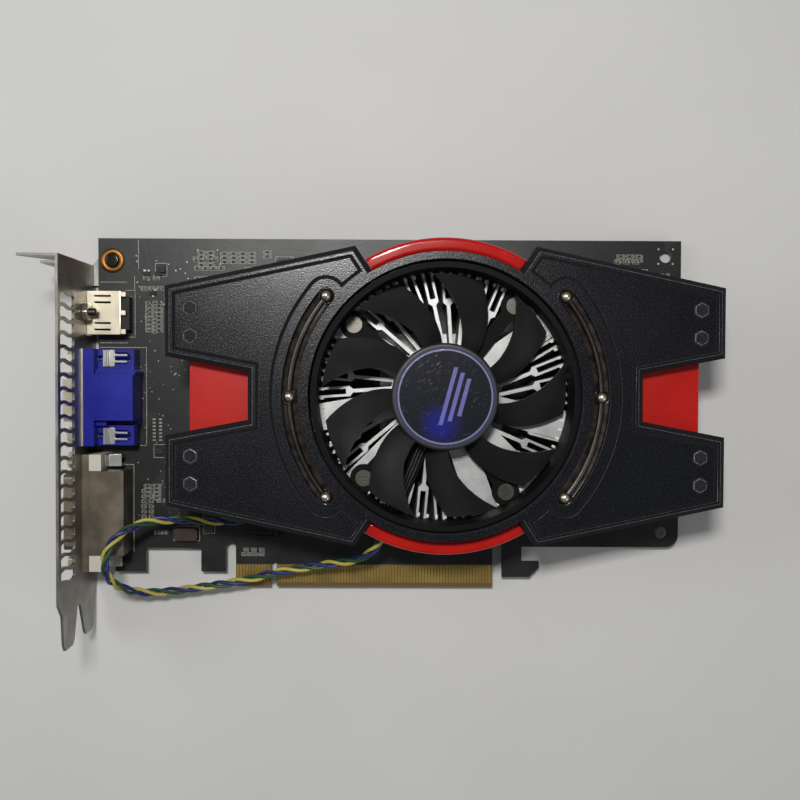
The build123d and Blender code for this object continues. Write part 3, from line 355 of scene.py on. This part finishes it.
def labelFilm(slot):
    # a dark blue glossy film: a bright ring near its edge, slanted airflow bars, and a soft blue patch of
    # painted sheen low on it
    f = Finish(slot, tone(16, 20, 44), 0.2)
    radius, lean, half = 15.1 * mm, 0.16, 0.62
    place = f.around(fanAxis, math.radians(-6))
    px, py = f.add("ShaderNodeSeparateXYZ", {}, {"Vector": place}, None)[:2]
    flat = f.add("ShaderNodeCombineXYZ", {}, {"X": px, "Y": py, "Z": 0.0})
    reach = f.length(flat) / radius
    ring = reach.within(0.925, 0.955, 0.008)
    rim = reach.above(0.965, 0.01)
    # painted sheen: a soft blue patch low on the film, where its holographic face would catch the light
    offset = f.add("ShaderNodeVectorMath", {"operation": "SUBTRACT"},
                   {0: flat, 1: (-0.5 * mm, -8.5 * mm, 0)})
    paintedSheen = 1 - f.length(offset).above(4 * mm, 4 * mm)
    bars = 0
    for centre, low, high in ((0.8, -8.6, 9.2), (3.2, -7.2, 7.8), (5.6, -5.4, 6.2)):
        across = (px - py * lean).within((centre - half) * mm, (centre + half) * mm, 0.05 * mm)
        bars = across * py.within(low * mm, high * mm, 0.06 * mm) + bars
    scratch = f.noise(2.2 * mm, 6, (1, 14, 1), f.around(fanAxis, 0.7)).above(0.68, 0.03)
    colour = f.mix(paintedSheen, tone(9, 11, 22), tone(14, 20, 120))
    colour = f.mix(scratch * 0.3, colour, tone(96, 100, 140))
    colour = f.mix(bars, colour, tone(118, 112, 178))
    colour = f.mix(ring, colour, tone(150, 148, 190))
    colour = f.mix(rim, colour, tone(52, 56, 84))
    f.paint(colour=colour, roughness=0.2 + scratch * 0.25, metallic=ring * 0.5 + bars * 0.3)
    f.bump(scratch, 0.004 * mm)
    f.feed(f.shader, {"Coat Weight": 0.5, "Coat Roughness": 0.08})
    return keep(slot, f)


coverPlastic("shroud_plastic")
plastic("fan_plastic", tone(31, 31, 32), 0.42, grain=0.4 * mm, depth=0.012 * mm, shift=0.25)
redPlastic("red_plastic")
plastic("blue_plastic", tone(17, 27, 142), 0.3, grain=0.45 * mm, depth=0.03 * mm, shift=0.15, gloss=0.36)
plastic("black_plastic", tone(12, 12, 12), 0.45, grain=0.3 * mm, depth=0.012 * mm, shift=0.3, gloss=0.3)
plastic("white_plastic", tone(196, 192, 180), 0.5, grain=0.3 * mm, depth=0.012 * mm, shift=0.1)
plastic("wire_sheath", tone(30, 44, 110), 0.42, grain=0.6 * mm, depth=0.008 * mm, shift=0.2)
bracketSteel("bracket_steel")
metal("dark_steel", tone(92, 88, 82), 0.36)
metal("nickel", tone(222, 212, 190), 0.3, size=2 * mm, stain=0.12)
metal("dull_nickel", tone(132, 122, 108), 0.4, drawn=(0.25, 1, 1), size=0.45 * mm, depth=0.012 * mm, stain=0.4)
metal("tin", tone(196, 196, 192), 0.32)
metal("solder", tone(172, 174, 174), 0.3)
metal("gold", tone(196, 166, 92), 0.3, drawn=(1, 0.05, 1))
metal("can_aluminium", tone(190, 190, 190), 0.28, drawn=(1, 1, 0.02))
metal("bare_aluminium", tone(184, 185, 184), 0.46, size=0.45 * mm, depth=0.03 * mm, stain=0.3)
metal("core_steel", tone(120, 120, 122), 0.4)
metal("copper_wire", tone(176, 100, 62), 0.35)
metal("bronze", tone(150, 110, 66), 0.45)
metal("gunmetal", tone(88, 84, 80), 0.24, drawn=(1, 0.2, 1), size=0.5 * mm, depth=0.003 * mm)
chipBody("black_chip", tone(24, 24, 25))
chipBody("brown_chip", tone(44, 32, 24), 0.42)
chipBody("ferrite", tone(44, 44, 46), 0.6)
chipBody("tan_ceramic", tone(84, 70, 54), 0.5)
chipBody("chip_green", tone(26, 70, 44), 0.45)
chipBody("silicon", tone(48, 52, 60), 0.15)
chipBody("grey_paste", tone(150, 150, 150), 0.6)
solderMask("solder_mask")
labelFilm("label_film")

slotOf = {}
for name, node in nodes.items():
    slotOf[name] = node.data.materials[0].name
    node.data.materials[0] = finishes[slotOf[name]]
# four nodes look different from the other parts of their slot
ownFinishes = {
    "fan_frame": plastic("frame_plastic", tone(5, 5, 6), 0.6, gloss=0.12),
    "ground_screw": metal("dark_dome", tone(74, 76, 68), 0.16, size=2 * mm),
    "motor_wires": plastic("motor_wire_sheath", tone(16, 18, 26), 0.4),
    "fan_screws": metal("fan_screw_steel", tone(100, 97, 90), 0.34, size=1.5 * mm),
}
for name, own in ownFinishes.items():
    nodes[name].data.materials[0] = own.material
print("finishes made:", len(finishes))

floor = bpy.data.meshes.new("table")
bm = bmesh.new()
bmesh.ops.create_grid(bm, x_segments=1, y_segments=1, size=2.5)
bm.to_mesh(floor)
bm.free()
table = bpy.data.objects.new("table", floor)
bpy.context.scene.collection.objects.link(table)
tableTop = Finish("table_top", tone(198, 197, 195), 0.75)
tableDrift = tableTop.noise(60 * mm, 4).above(0.5, 0.4)
tableTop.paint(colour=tableTop.mix(tableDrift, tone(196, 195, 193), tone(201, 200, 198)),
               roughness=0.72 + tableTop.noise(30 * mm, 4) * 0.06)
floor.materials.append(tableTop.material)


def piece(name, mesh, body, slots, smooth):
    # an object that rides on a body; each slot is a finish's name or a material, smooth an angle or 0
    made = bpy.data.objects.new(name, mesh)
    bpy.context.scene.collection.objects.link(made)
    for slot in slots:
        mesh.materials.append(finishes[slot] if isinstance(slot, str) else slot)
    if smooth:
        mesh.polygons.foreach_set("use_smooth", [True] * len(mesh.polygons))
        mesh.set_sharp_from_angle(angle=math.radians(smooth))
    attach(made, body)
    return made


def finished(name, bm, body, slots, smooth=35):
    # the piece made of a bmesh, which is freed
    mesh = bpy.data.meshes.new(name)
    bm.to_mesh(mesh)
    bm.free()
    return piece(name, mesh, body, slots, smooth)


# the fan lead: three twisted wires
lead = {
    "diameter": 2.8 * mm,
    "wire": 1.12 * mm,
    "pitch": 16 * mm,
    "steps": 330,
    "route": ((5.545, -24.371, 24.05), (2.065, -33.630, 23.25), (-4.935, -39.430, 16.55),
              (-17.135, -42.030, 11.15), (-30.535, -44.430, 9.35), (-43.935, -48.030, 8.55),
              (-56.535, -50.130, 7.15), (-67.335, -51.730, 6.95), (-75.935, -51.830, 8.75),
              (-81.735, -49.230, 13.95), (-84.335, -44.430, 20.75), (-84.735, -37.230, 22.55),
              (-80.735, -30.630, 21.75), (-72.935, -26.830, 17.35), (-63.735, -27.230, 12.35),
              (-54.535, -28.330, 8.35), (-43.135, -28.330, 7.65)),
    "colours": (("yellow", tone(172, 160, 70)), ("green", tone(22, 66, 40)), ("blue", tone(20, 32, 96))),
}


def curveOf(name, points, kind, thickness=0.0):
    # an open curve through or near some points
    data = bpy.data.curves.new(name, "CURVE")
    data.dimensions = "3D"
    data.bevel_depth = thickness / 2
    data.bevel_resolution = 3
    data.resolution_u = 12
    data.use_fill_caps = True
    spline = data.splines.new(kind)
    spline.points.add(len(points) - 1)
    for target, point in zip(spline.points, points):
        target.co = (*point, 1)
    if kind == "NURBS":
        spline.order_u = 3
        spline.use_endpoint_u = True
    return bpy.data.objects.new(name, data)


def meshOf(carrier):
    mesh = bpy.data.meshes.new_from_object(carrier)
    data = carrier.data
    bpy.data.objects.remove(carrier)
    bpy.data.curves.remove(data)
    return mesh


def evenly(points, count):
    # the same line with points equally far apart
    runs = [(b - a).length for a, b in zip(points, points[1:])]
    total, along, made, index = sum(runs), 0.0, [], 0
    for step in range(count):
        target = total * step / (count - 1)
        while index < len(runs) - 1 and along + runs[index] < target:
            along += runs[index]
            index += 1
        share = min(1, (target - along) / runs[index])
        made.append(points[index].lerp(points[index + 1], share))
    return made


def strand(points, radius, pitch, phase):
    # a helix round a line, carried along without twisting its frame
    side = (points[1] - points[0]).orthogonal().normalized()
    along, made = 0.0, []
    for index, point in enumerate(points):
        ahead = points[min(index + 1, len(points) - 1)] - points[max(index - 1, 0)]
        ahead.normalize()
        side = (side - ahead * side.dot(ahead)).normalized()
        if index:
            along += (point - points[index - 1]).length
        turn = phase + 2 * math.pi * along / pitch
        made.append(point + radius * (math.cos(turn) * side + math.sin(turn) * ahead.cross(side)))
    return made


route = [Vector(p) * mm for p in lead["route"]]
centre = [v.co.copy() for v in meshOf(curveOf("route", route, "NURBS")).vertices]
leadLine = evenly(centre, lead["steps"])
leadLength = sum((b - a).length for a, b in zip(leadLine, leadLine[1:]))
bm = bmesh.new()
wireFinishes = []
for index, (name, colour) in enumerate(lead["colours"]):
    helix = strand(leadLine, (lead["diameter"] - lead["wire"]) / 2, lead["pitch"], index * 2 * math.pi / 3)
    before = len(bm.faces)
    bm.from_mesh(meshOf(curveOf(name, helix, "POLY", lead["wire"])))
    bm.faces.ensure_lookup_table()
    for face in bm.faces[before:]:
        face.material_index = index
    wire = plastic("wire_" + name, colour, 0.42, grain=0.6 * mm, depth=0.008 * mm, shift=0.15)
    wireFinishes.append(wire.material)
leadWires = finished("fanLeadWires", bm, "card", wireFinishes)
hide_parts("fan_lead")
print("lead made:", round(leadLength * 1000, 1), "mm")


def softened(node, width):
    # a copy of a CAD part whose sharp edges are rounded, so that they catch the light
    bm = bmesh.new()
    bm.from_mesh(nodes[node].data)
    bmesh.ops.remove_doubles(bm, verts=bm.verts, dist=weld)
    bmesh.ops.dissolve_limit(bm, angle_limit=math.radians(0.8), verts=bm.verts, edges=bm.edges)
    bmesh.ops.recalc_face_normals(bm, faces=bm.faces)
    made = finished(node + "Soft", bm, nodes[node]["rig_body"], [slotOf[node]], sharpAngle)
    bevel = made.modifiers.new("edges", "BEVEL")
    bevel.width = width
    bevel.segments = 2
    bevel.limit_method = "ANGLE"
    bevel.angle_limit = math.radians(sharpAngle)
    # large faces keep their own direction, so that flat fields stay flat
    flats = made.modifiers.new("flats", "WEIGHTED_NORMAL")
    flats.mode = "FACE_AREA"
    flats.weight = 100
    flats.keep_sharp = True
    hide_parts(node)


# edges that turn by more than sharpAngle degrees are rounded by the width given for their part
sharpAngle = 28
softEdges = {
    "shroud_cover": 0.28 * mm,
    "red_frame": 0.35 * mm,
    "fan_rotor": 0.22 * mm,
    "vga_housing": 0.22 * mm,
    "dvi_shell": 0.25 * mm,
    "dvi_insulator": 0.2 * mm,
    "hdmi_shell": 0.14 * mm,
    "mounting_bracket": 0.16 * mm,
    "vga_board_locks": 0.12 * mm,
    "dvi_board_locks": 0.12 * mm,
    "hdmi_nut": 0.3 * mm,
    "hdmi_screw": 0.2 * mm,
    "jack_screws": 0.2 * mm,
    "inductors": 0.3 * mm,
    "memory_chips": 0.12 * mm,
    "fan_header": 0.15 * mm,
    "fan_plug": 0.15 * mm,
}
for node, width in softEdges.items():
    softened(node, width)
print("edges softened:", len(softEdges))


def facesOf(made):
    return {face for vert in made["verts"] for face in vert.link_faces}


def box(bm, x0, x1, y0, y1, z0, z1, material=0):
    place = Matrix.Translation(((x0 + x1) / 2, (y0 + y1) / 2, (z0 + z1) / 2)) \
        @ Matrix.Diagonal((x1 - x0, y1 - y0, z1 - z0, 1))
    for face in facesOf(bmesh.ops.create_cube(bm, size=1, matrix=place)):
        face.material_index = material


def disc(bm, x, y, radius, z0, z1, sides, material=0):
    made = bmesh.ops.create_cone(bm, cap_ends=True, segments=sides, radius1=radius, radius2=radius,
                                 depth=z1 - z0, matrix=Matrix.Translation((x, y, (z0 + z1) / 2)))
    for face in facesOf(made):
        face.material_index = material


def outline(bm, x0, x1, y0, y1, width, sides="lrbt"):
    # printed lines along the left, right, bottom and top of a rectangle
    half = width / 2
    edges = {"l": (x0 - half, x0 + half, y0 - half, y1 + half),
             "r": (x1 - half, x1 + half, y0 - half, y1 + half),
             "b": (x0 - half, x1 + half, y0 - half, y0 + half),
             "t": (x0 - half, x1 + half, y1 - half, y1 + half)}
    for side in sides:
        box(bm, *edges[side], printed["low"], printed["high"])


def around(bm, low, high, margin, width):
    outline(bm, low.x - margin, high.x + margin, low.y - margin, high.y + margin, width)


def cells(columns, rows, pitchX, pitchY):
    # the places of a block's cells about its centre
    for column in range(columns):
        for row in range(rows):
            yield (column - (columns - 1) / 2) * pitchX, (row - (rows - 1) / 2) * pitchY


def faceUp(bm):
    # all faces of an open sheet turned to face upward
    bmesh.ops.recalc_face_normals(bm, faces=bm.faces)
    if sum(face.normal.z for face in bm.faces) < 0:
        bmesh.ops.reverse_faces(bm, faces=bm.faces)


def islands(node):
    # the box of each separate solid of a node
    bm = bmesh.new()
    bm.from_mesh(nodes[node].data)
    bmesh.ops.remove_doubles(bm, verts=bm.verts, dist=weld)
    seen, found = set(), []
    for start in bm.verts:
        if start in seen:
            continue
        group, queue = [], [start]
        seen.add(start)
        while queue:
            vert = queue.pop()
            group.append(vert.co.copy())
            for edge in vert.link_edges:
                other = edge.other_vert(vert)
                if other not in seen:
                    seen.add(other)
                    queue.append(other)
        found.append((Vector(map(min, zip(*group))), Vector(map(max, zip(*group)))))
    bm.free()
    return found


silk = Finish("silk_print", tone(158, 158, 152), 0.6)
silkWorn = silk.noise(0.5 * mm, 3).above(0.42, 0.1)
silk.paint(colour=silk.mix(silkWorn, tone(96, 96, 92), tone(176, 176, 170)))
padTin = chipBody("pad_tin", tone(112, 112, 98), 0.45)
tinned = metal("tinned_pads", tone(150, 150, 138), 0.4)
copper = metal("bare_copper", tone(170, 118, 66), 0.42, size=2 * mm, stain=0.5)

# printed frames round parts: heights of the print, and the margin and line width of each kind
printed = {
    "low": boardFace - 0.005 * mm,
    "high": boardFace + 0.03 * mm,
    "line": 0.16 * mm,
    "chips": (0.28 * mm, 0.12 * mm),
    "packages": (0.4 * mm, 0.14 * mm),
    "cans": (0.5 * mm, 0.14 * mm),
}
# blocks of small parts: each has its centre, columns and rows
blocks = {
    "pitchX": 3.0 * mm,
    "pitchY": 1.36 * mm,
    "frame": (1.3 * mm, 0.5 * mm, 0.13 * mm),
    "grids": ((boardLow.x + 18.4 * mm, boardHigh.y - 26.2 * mm, 2, 7),
              (boardLow.x + 35.4 * mm, boardHigh.y - 6.6 * mm, 2, 4),
              (boardLow.x + 46.0 * mm, boardHigh.y - 6.2 * mm, 4, 3),
              (boardLow.x + 55.6 * mm, boardHigh.y - 5.0 * mm, 1, 2),
              (boardHigh.x - 17.0 * mm, boardHigh.y - 5.8 * mm, 3, 2),
              (boardLow.x + 17.6 * mm, boardLow.y + 31.4 * mm, 2, 4)),
}
blockCells = [(centreX + dx, centreY + dy) for centreX, centreY, columns, rows in blocks["grids"]
              for dx, dy in cells(columns, rows, blocks["pitchX"], blocks["pitchY"])]
small = islands("chip_resistors") + islands("chip_capacitors")
vgaLow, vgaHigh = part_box("vga_housing")
dviLow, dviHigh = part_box("dvi_insulator")
hdmiLow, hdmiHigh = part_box("hdmi_shell")
left, top = boardLow.x, boardHigh.y
# lines round the sockets: left, right, bottom, top, and the sides that are drawn
socketLines = (
    (left + 0.5 * mm, vgaHigh.x + 0.9 * mm, vgaLow.y - 0.6 * mm, vgaHigh.y + 0.7 * mm, "rt"),
    (vgaHigh.x - 1.2 * mm, vgaHigh.x + 0.9 * mm, vgaLow.y - 0.6 * mm, vgaHigh.y, "b"),
    (left + 0.6 * mm, left + 9.6 * mm, 0, vgaHigh.y + 2.2 * mm, "t"),
    (0, dviHigh.x + 0.5 * mm, dviLow.y + 4.5 * mm, dviHigh.y - 4.2 * mm, "r"),
    (dviHigh.x - 4 * mm, dviHigh.x + 0.5 * mm, 0, dviHigh.y - 4.2 * mm, "t"),
    (hdmiHigh.x - 1.5 * mm, hdmiHigh.x + 1.6 * mm, hdmiLow.y - 0.6 * mm, hdmiHigh.y + 0.7 * mm, "rtb"),
    (0, left + 13.2 * mm, top - 10.2 * mm, top - 0.6 * mm, "r"),
    (0, left + 11.9 * mm, hdmiHigh.y + 0.7 * mm, top - 12.4 * mm, "r"),
    (left + 0.6 * mm, left + 9.3 * mm, 0, top - 14.4 * mm, "t"),
)
# four dots round the board's outer mounting hole
dots = {"inset": 5.1 * mm, "reach": 3.4 * mm, "radius": 0.32 * mm, "angles": (45, 135, 225, 315)}

bm = bmesh.new()
for low, high in small:
    around(bm, low, high, *printed["chips"])
for x0, x1, y0, y1, sides in socketLines:
    outline(bm, x0, x1, y0, y1, printed["line"], sides)
for low, high in islands("small_chips") + islands("moulded_capacitors") + islands("clock_crystal"):
    around(bm, low, high, *printed["packages"])
for low, high in islands("capacitors"):
    middle = (low + high) / 2
    half = Vector((1, 1, 0)) * (high.x - low.x) / 2
    around(bm, middle - half, middle + half, *printed["cans"])
halfX, halfY, width = blocks["frame"]
for x, y in blockCells:
    outline(bm, x - halfX, x + halfX, y - halfY, y + halfY, width)
for angle in dots["angles"]:
    place = Vector((boardHigh.x - dots["inset"], top - dots["inset"])) \
        + dots["reach"] * Vector((math.cos(math.radians(angle)), math.sin(math.radians(angle))))
    disc(bm, *place, dots["radius"], printed["low"], printed["high"], 10)
finished("boardPrint", bm, "card", [silk.material], 0)

# soldered ends of the small chips, rows of bare pads, transistors, and vias on both faces
pads = {
    "share": 0.26,
    "grow": 0.03 * mm,
    "transistors": ((15.9, 11.6), (19.8, 11.6), (18.0, 17.9)),
    "legs": ((-0.7, 0.95), (0.7, 0.95), (0, -0.95)),
    "rowGap": 1.15 * mm,
    "columnGap": 2.1 * mm,
    # count, range across and up from the board's corner, radii, and the lower and upper height
    "viasFront": (150, (12, 44), (22, 112), (0.16, 0.2, 0.24), boardFace, boardFace + 0.05 * mm),
    "viasBack": (170, (4, 188), (18, 112), (0.2, 0.26, 0.34), boardBack - 0.12 * mm, boardBack),
}
endSurface, chipSurface = 1, 2


def padBox(bm, x, y, halfX, halfY, height, material=0):
    box(bm, x - halfX, x + halfX, y - halfY, y + halfY, boardFace, boardFace + height, material)


bm = bmesh.new()
for low, high in small:
    size = high - low
    along = 0 if size.x > size.y else 1
    for end in (0, 1):
        a, b = low.copy(), high.copy()
        if end:
            a[along] = high[along] - size[along] * pads["share"]
        else:
            b[along] = low[along] + size[along] * pads["share"]
        grow = pads["grow"]
        box(bm, a.x - grow, b.x + grow, a.y - grow, b.y + grow, boardFace, high.z + grow, endSurface)
for inward, down in pads["transistors"]:
    x, y = left + inward * mm, top - down * mm
    padBox(bm, x, y, 1.1 * mm, 0.65 * mm, 0.95 * mm, chipSurface)
    for legX, legY in pads["legs"]:
        padBox(bm, x + legX * mm, y + legY * mm, 0.3 * mm, 0.4 * mm, 0.22 * mm)
for row in range(7):
    y = vgaLow.y + 1.2 * mm + row * pads["rowGap"]
    for column in range(2):
        x = vgaHigh.x + 3.4 * mm + column * pads["columnGap"]
        padBox(bm, x, y, 0.5 * mm, 0.27 * mm, 0.08 * mm)
for x, y in blockCells:
    padBox(bm, x, y, 0.5 * mm, 0.3 * mm, 0.32 * mm, chipSurface)
    for end in (-1, 1):
        padBox(bm, x + end * 0.72 * mm, y, 0.22 * mm, 0.28 * mm, 0.28 * mm, endSurface)
random.seed(7)
for count, rangeX, rangeY, radii, low, high in (pads["viasFront"], pads["viasBack"]):
    for index in range(count):
        x = boardLow.x + random.uniform(*rangeX) * mm
        y = boardLow.y + random.uniform(*rangeY) * mm
        disc(bm, x, y, random.choice(radii) * mm, low, high, 8)
finished("boardPads", bm, "card", [tinned.material, padTin.material, "black_chip"])

# the bare ring round the earthing screw
groundRing = {"outer": 4.1 * mm, "inner": 2.0 * mm, "sides": 64, "lift": 0.04 * mm, "thickness": 0.06 * mm}
groundLow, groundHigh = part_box("ground_screw")
groundX, groundY = (groundLow.x + groundHigh.x) / 2, (groundLow.y + groundHigh.y) / 2
bm = bmesh.new()
bmesh.ops.create_circle(bm, segments=groundRing["sides"], radius=groundRing["outer"],
                        matrix=Matrix.Translation((groundX, groundY, boardFace + groundRing["lift"])))
made = bmesh.ops.extrude_edge_only(bm, edges=bm.edges[:])
inner = [e for e in made["geom"] if isinstance(e, bmesh.types.BMVert)]
shrink = groundRing["inner"] / groundRing["outer"]
bmesh.ops.scale(bm, vec=(shrink, shrink, 1), verts=inner,
                space=Matrix.Translation((-groundX, -groundY, 0)))
faceUp(bm)
ring = finished("copperRing", bm, "card", [copper.material])
ring.modifiers.new("thickness", "SOLIDIFY").thickness = groundRing["thickness"]
print("board dressed")

# polished hexagon heads at the ends of the cover's wings, with a painted highlight along their top rims, each
# on a dark sheet of painted shade where the gap round it lies
bolt = {"radius": 2.2 * mm, "low": 0.05 * mm, "high": 0.66 * mm, "edge": 0.2 * mm,
        "gap": 0.4 * mm, "gapLow": -0.05 * mm, "gapHigh": 0.07 * mm,
        "out": 76.2 * mm, "rows": (17.9 * mm, 26.2 * mm)}
bm = bmesh.new()
for side in (-1, 1):
    for up in (-1, 1):
        for row in bolt["rows"]:
            x, y = fanAxis.x + side * bolt["out"], fanAxis.y + up * row
            disc(bm, x, y, bolt["radius"], coverTop + bolt["low"], coverTop + bolt["high"], 6, 0)
            disc(bm, x, y, bolt["radius"] + bolt["gap"],
                 coverTop + bolt["gapLow"], coverTop + bolt["gapHigh"], 6, 1)
heads = [e for e in bm.edges if min(v.co.z for v in e.verts) > coverTop + bolt["high"] / 2]
bmesh.ops.bevel(bm, geom=heads, affect="EDGES", offset=bolt["edge"], segments=3, profile=0.5, material=-1)
boltBlack = Finish("bolt_black", tone(12, 12, 15), 0.14)
boltBlack.feed(boltBlack.shader, {"Specular IOR Level": 0.3})
boltSpeckle = boltBlack.noise(0.5 * mm, 3)
# painted highlight: a light band along the top rim of each head, speckled by noise
boltEdge = boltBlack.split[2].within(coverTop + 0.44 * mm, coverTop + 0.64 * mm, 0.03 * mm)
boltRimHighlight = boltEdge * boltSpeckle.above(0.4, 0.15)
boltBlack.paint(colour=boltBlack.mix(boltRimHighlight, tone(9, 9, 12), tone(140, 142, 148)),
                roughness=0.1 + boltSpeckle * 0.12)
# painted shade: a dark sheet round each head where the gap would lie in shade
gapShade = Finish("gap_black", tone(3, 3, 4), 0.7)
gapShade.paint(roughness=0.6 + gapShade.noise(1 * mm) * 0.2)
bolts = finished("coverBolts", bm, "card", [boltBlack.material, gapShade.material], 0)

# dark glossy lining of the channels that the accent rods lie in
channel = {
    "half": 2.3 * mm,
    "lift": 0.03 * mm,
    "turn": 40,
    "steps": 56,
    "profile": ((-1, 0.9), (-0.93, 0.12), (-0.8, 0), (0.8, 0), (0.93, 0.12), (1, 0.9)),
}
rodLow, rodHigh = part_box("accent_rods")
rodRadius = rodHigh.x - fanAxis.x - (rodHigh.z - rodLow.z) / 2
channelFloor = rodLow.z + channel["lift"]
centreLine = Vector((fanAxis.x, fanAxis.y, 0))
bm = bmesh.new()
for side in (0, 180):
    start = Matrix.Rotation(math.radians(side - channel["turn"]), 4, "Z")
    verts = [bm.verts.new(start @ Vector((rodRadius + a * channel["half"], 0, channelFloor + b * mm)))
             for a, b in channel["profile"]]
    edges = [bm.edges.new(pair) for pair in zip(verts, verts[1:])]
    for vert in verts:
        vert.co += centreLine
    bmesh.ops.spin(bm, geom=verts + edges, cent=centreLine, axis=(0, 0, 1),
                   angle=math.radians(2 * channel["turn"]), steps=channel["steps"])
faceUp(bm)
lining = Finish("channel_lining", tone(30, 24, 20), 0.16)
haze = lining.noise(3 * mm, 4)
lining.paint(colour=lining.mix(haze.above(0.5, 0.2), tone(16, 14, 13), tone(52, 42, 34)),
             roughness=0.12 + haze * 0.14)
linings = finished("accentLinings", bm, "card", [lining.material])

# dark cups round the studs that hold the rods
cup = {"foot": 1.75 * mm, "mouth": 2.25 * mm, "depth": 0.9 * mm, "middle": 0.55 * mm, "sides": 40,
       "thickness": 0.12 * mm}
bm = bmesh.new()
for side in (0, 180):
    for step in (-1, 0, 1):
        turn = math.radians(side + step * channel["turn"])
        x, y = fanAxis.x + rodRadius * math.cos(turn), fanAxis.y + rodRadius * math.sin(turn)
        made = bmesh.ops.create_cone(bm, cap_ends=False, segments=cup["sides"], radius1=cup["foot"],
                                     radius2=cup["mouth"], depth=cup["depth"],
                                     matrix=Matrix.Translation((x, y, channelFloor + cup["middle"])))
        bmesh.ops.reverse_faces(bm, faces=list(facesOf(made)))
cups = finished("accentCups", bm, "card", [lining.material])
cups.modifiers.new("thickness", "SOLIDIFY").thickness = cup["thickness"]

# fin tips that show at the foot of the fan's wall, light aluminium in a non-metal finish: their own light
# tone, kept bright from every side as a painted glint
tip = {"count": 84, "first": 1.3, "reach": 38.0 * mm, "lift": 0.1 * mm,
       "size": (1.1 * mm, 0.75 * mm, 0.4 * mm)}
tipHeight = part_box("heat_sink")[1].z + tip["lift"]
finTip = chipBody("fin_tip", tone(206, 206, 200), 0.4)
bm = bmesh.new()
for index in range(tip["count"]):
    turn = math.radians(index * 360 / tip["count"] + tip["first"])
    x, y = fanAxis.x + tip["reach"] * math.cos(turn), fanAxis.y + tip["reach"] * math.sin(turn)
    place = Matrix.Translation((x, y, tipHeight)) @ Matrix.Rotation(turn, 4, "Z") \
        @ Matrix.Diagonal((*tip["size"], 1))
    bmesh.ops.create_cube(bm, size=1, matrix=place)
tips = finished("finTips", bm, "card", [finTip.material])
print("cover and fan dressed")
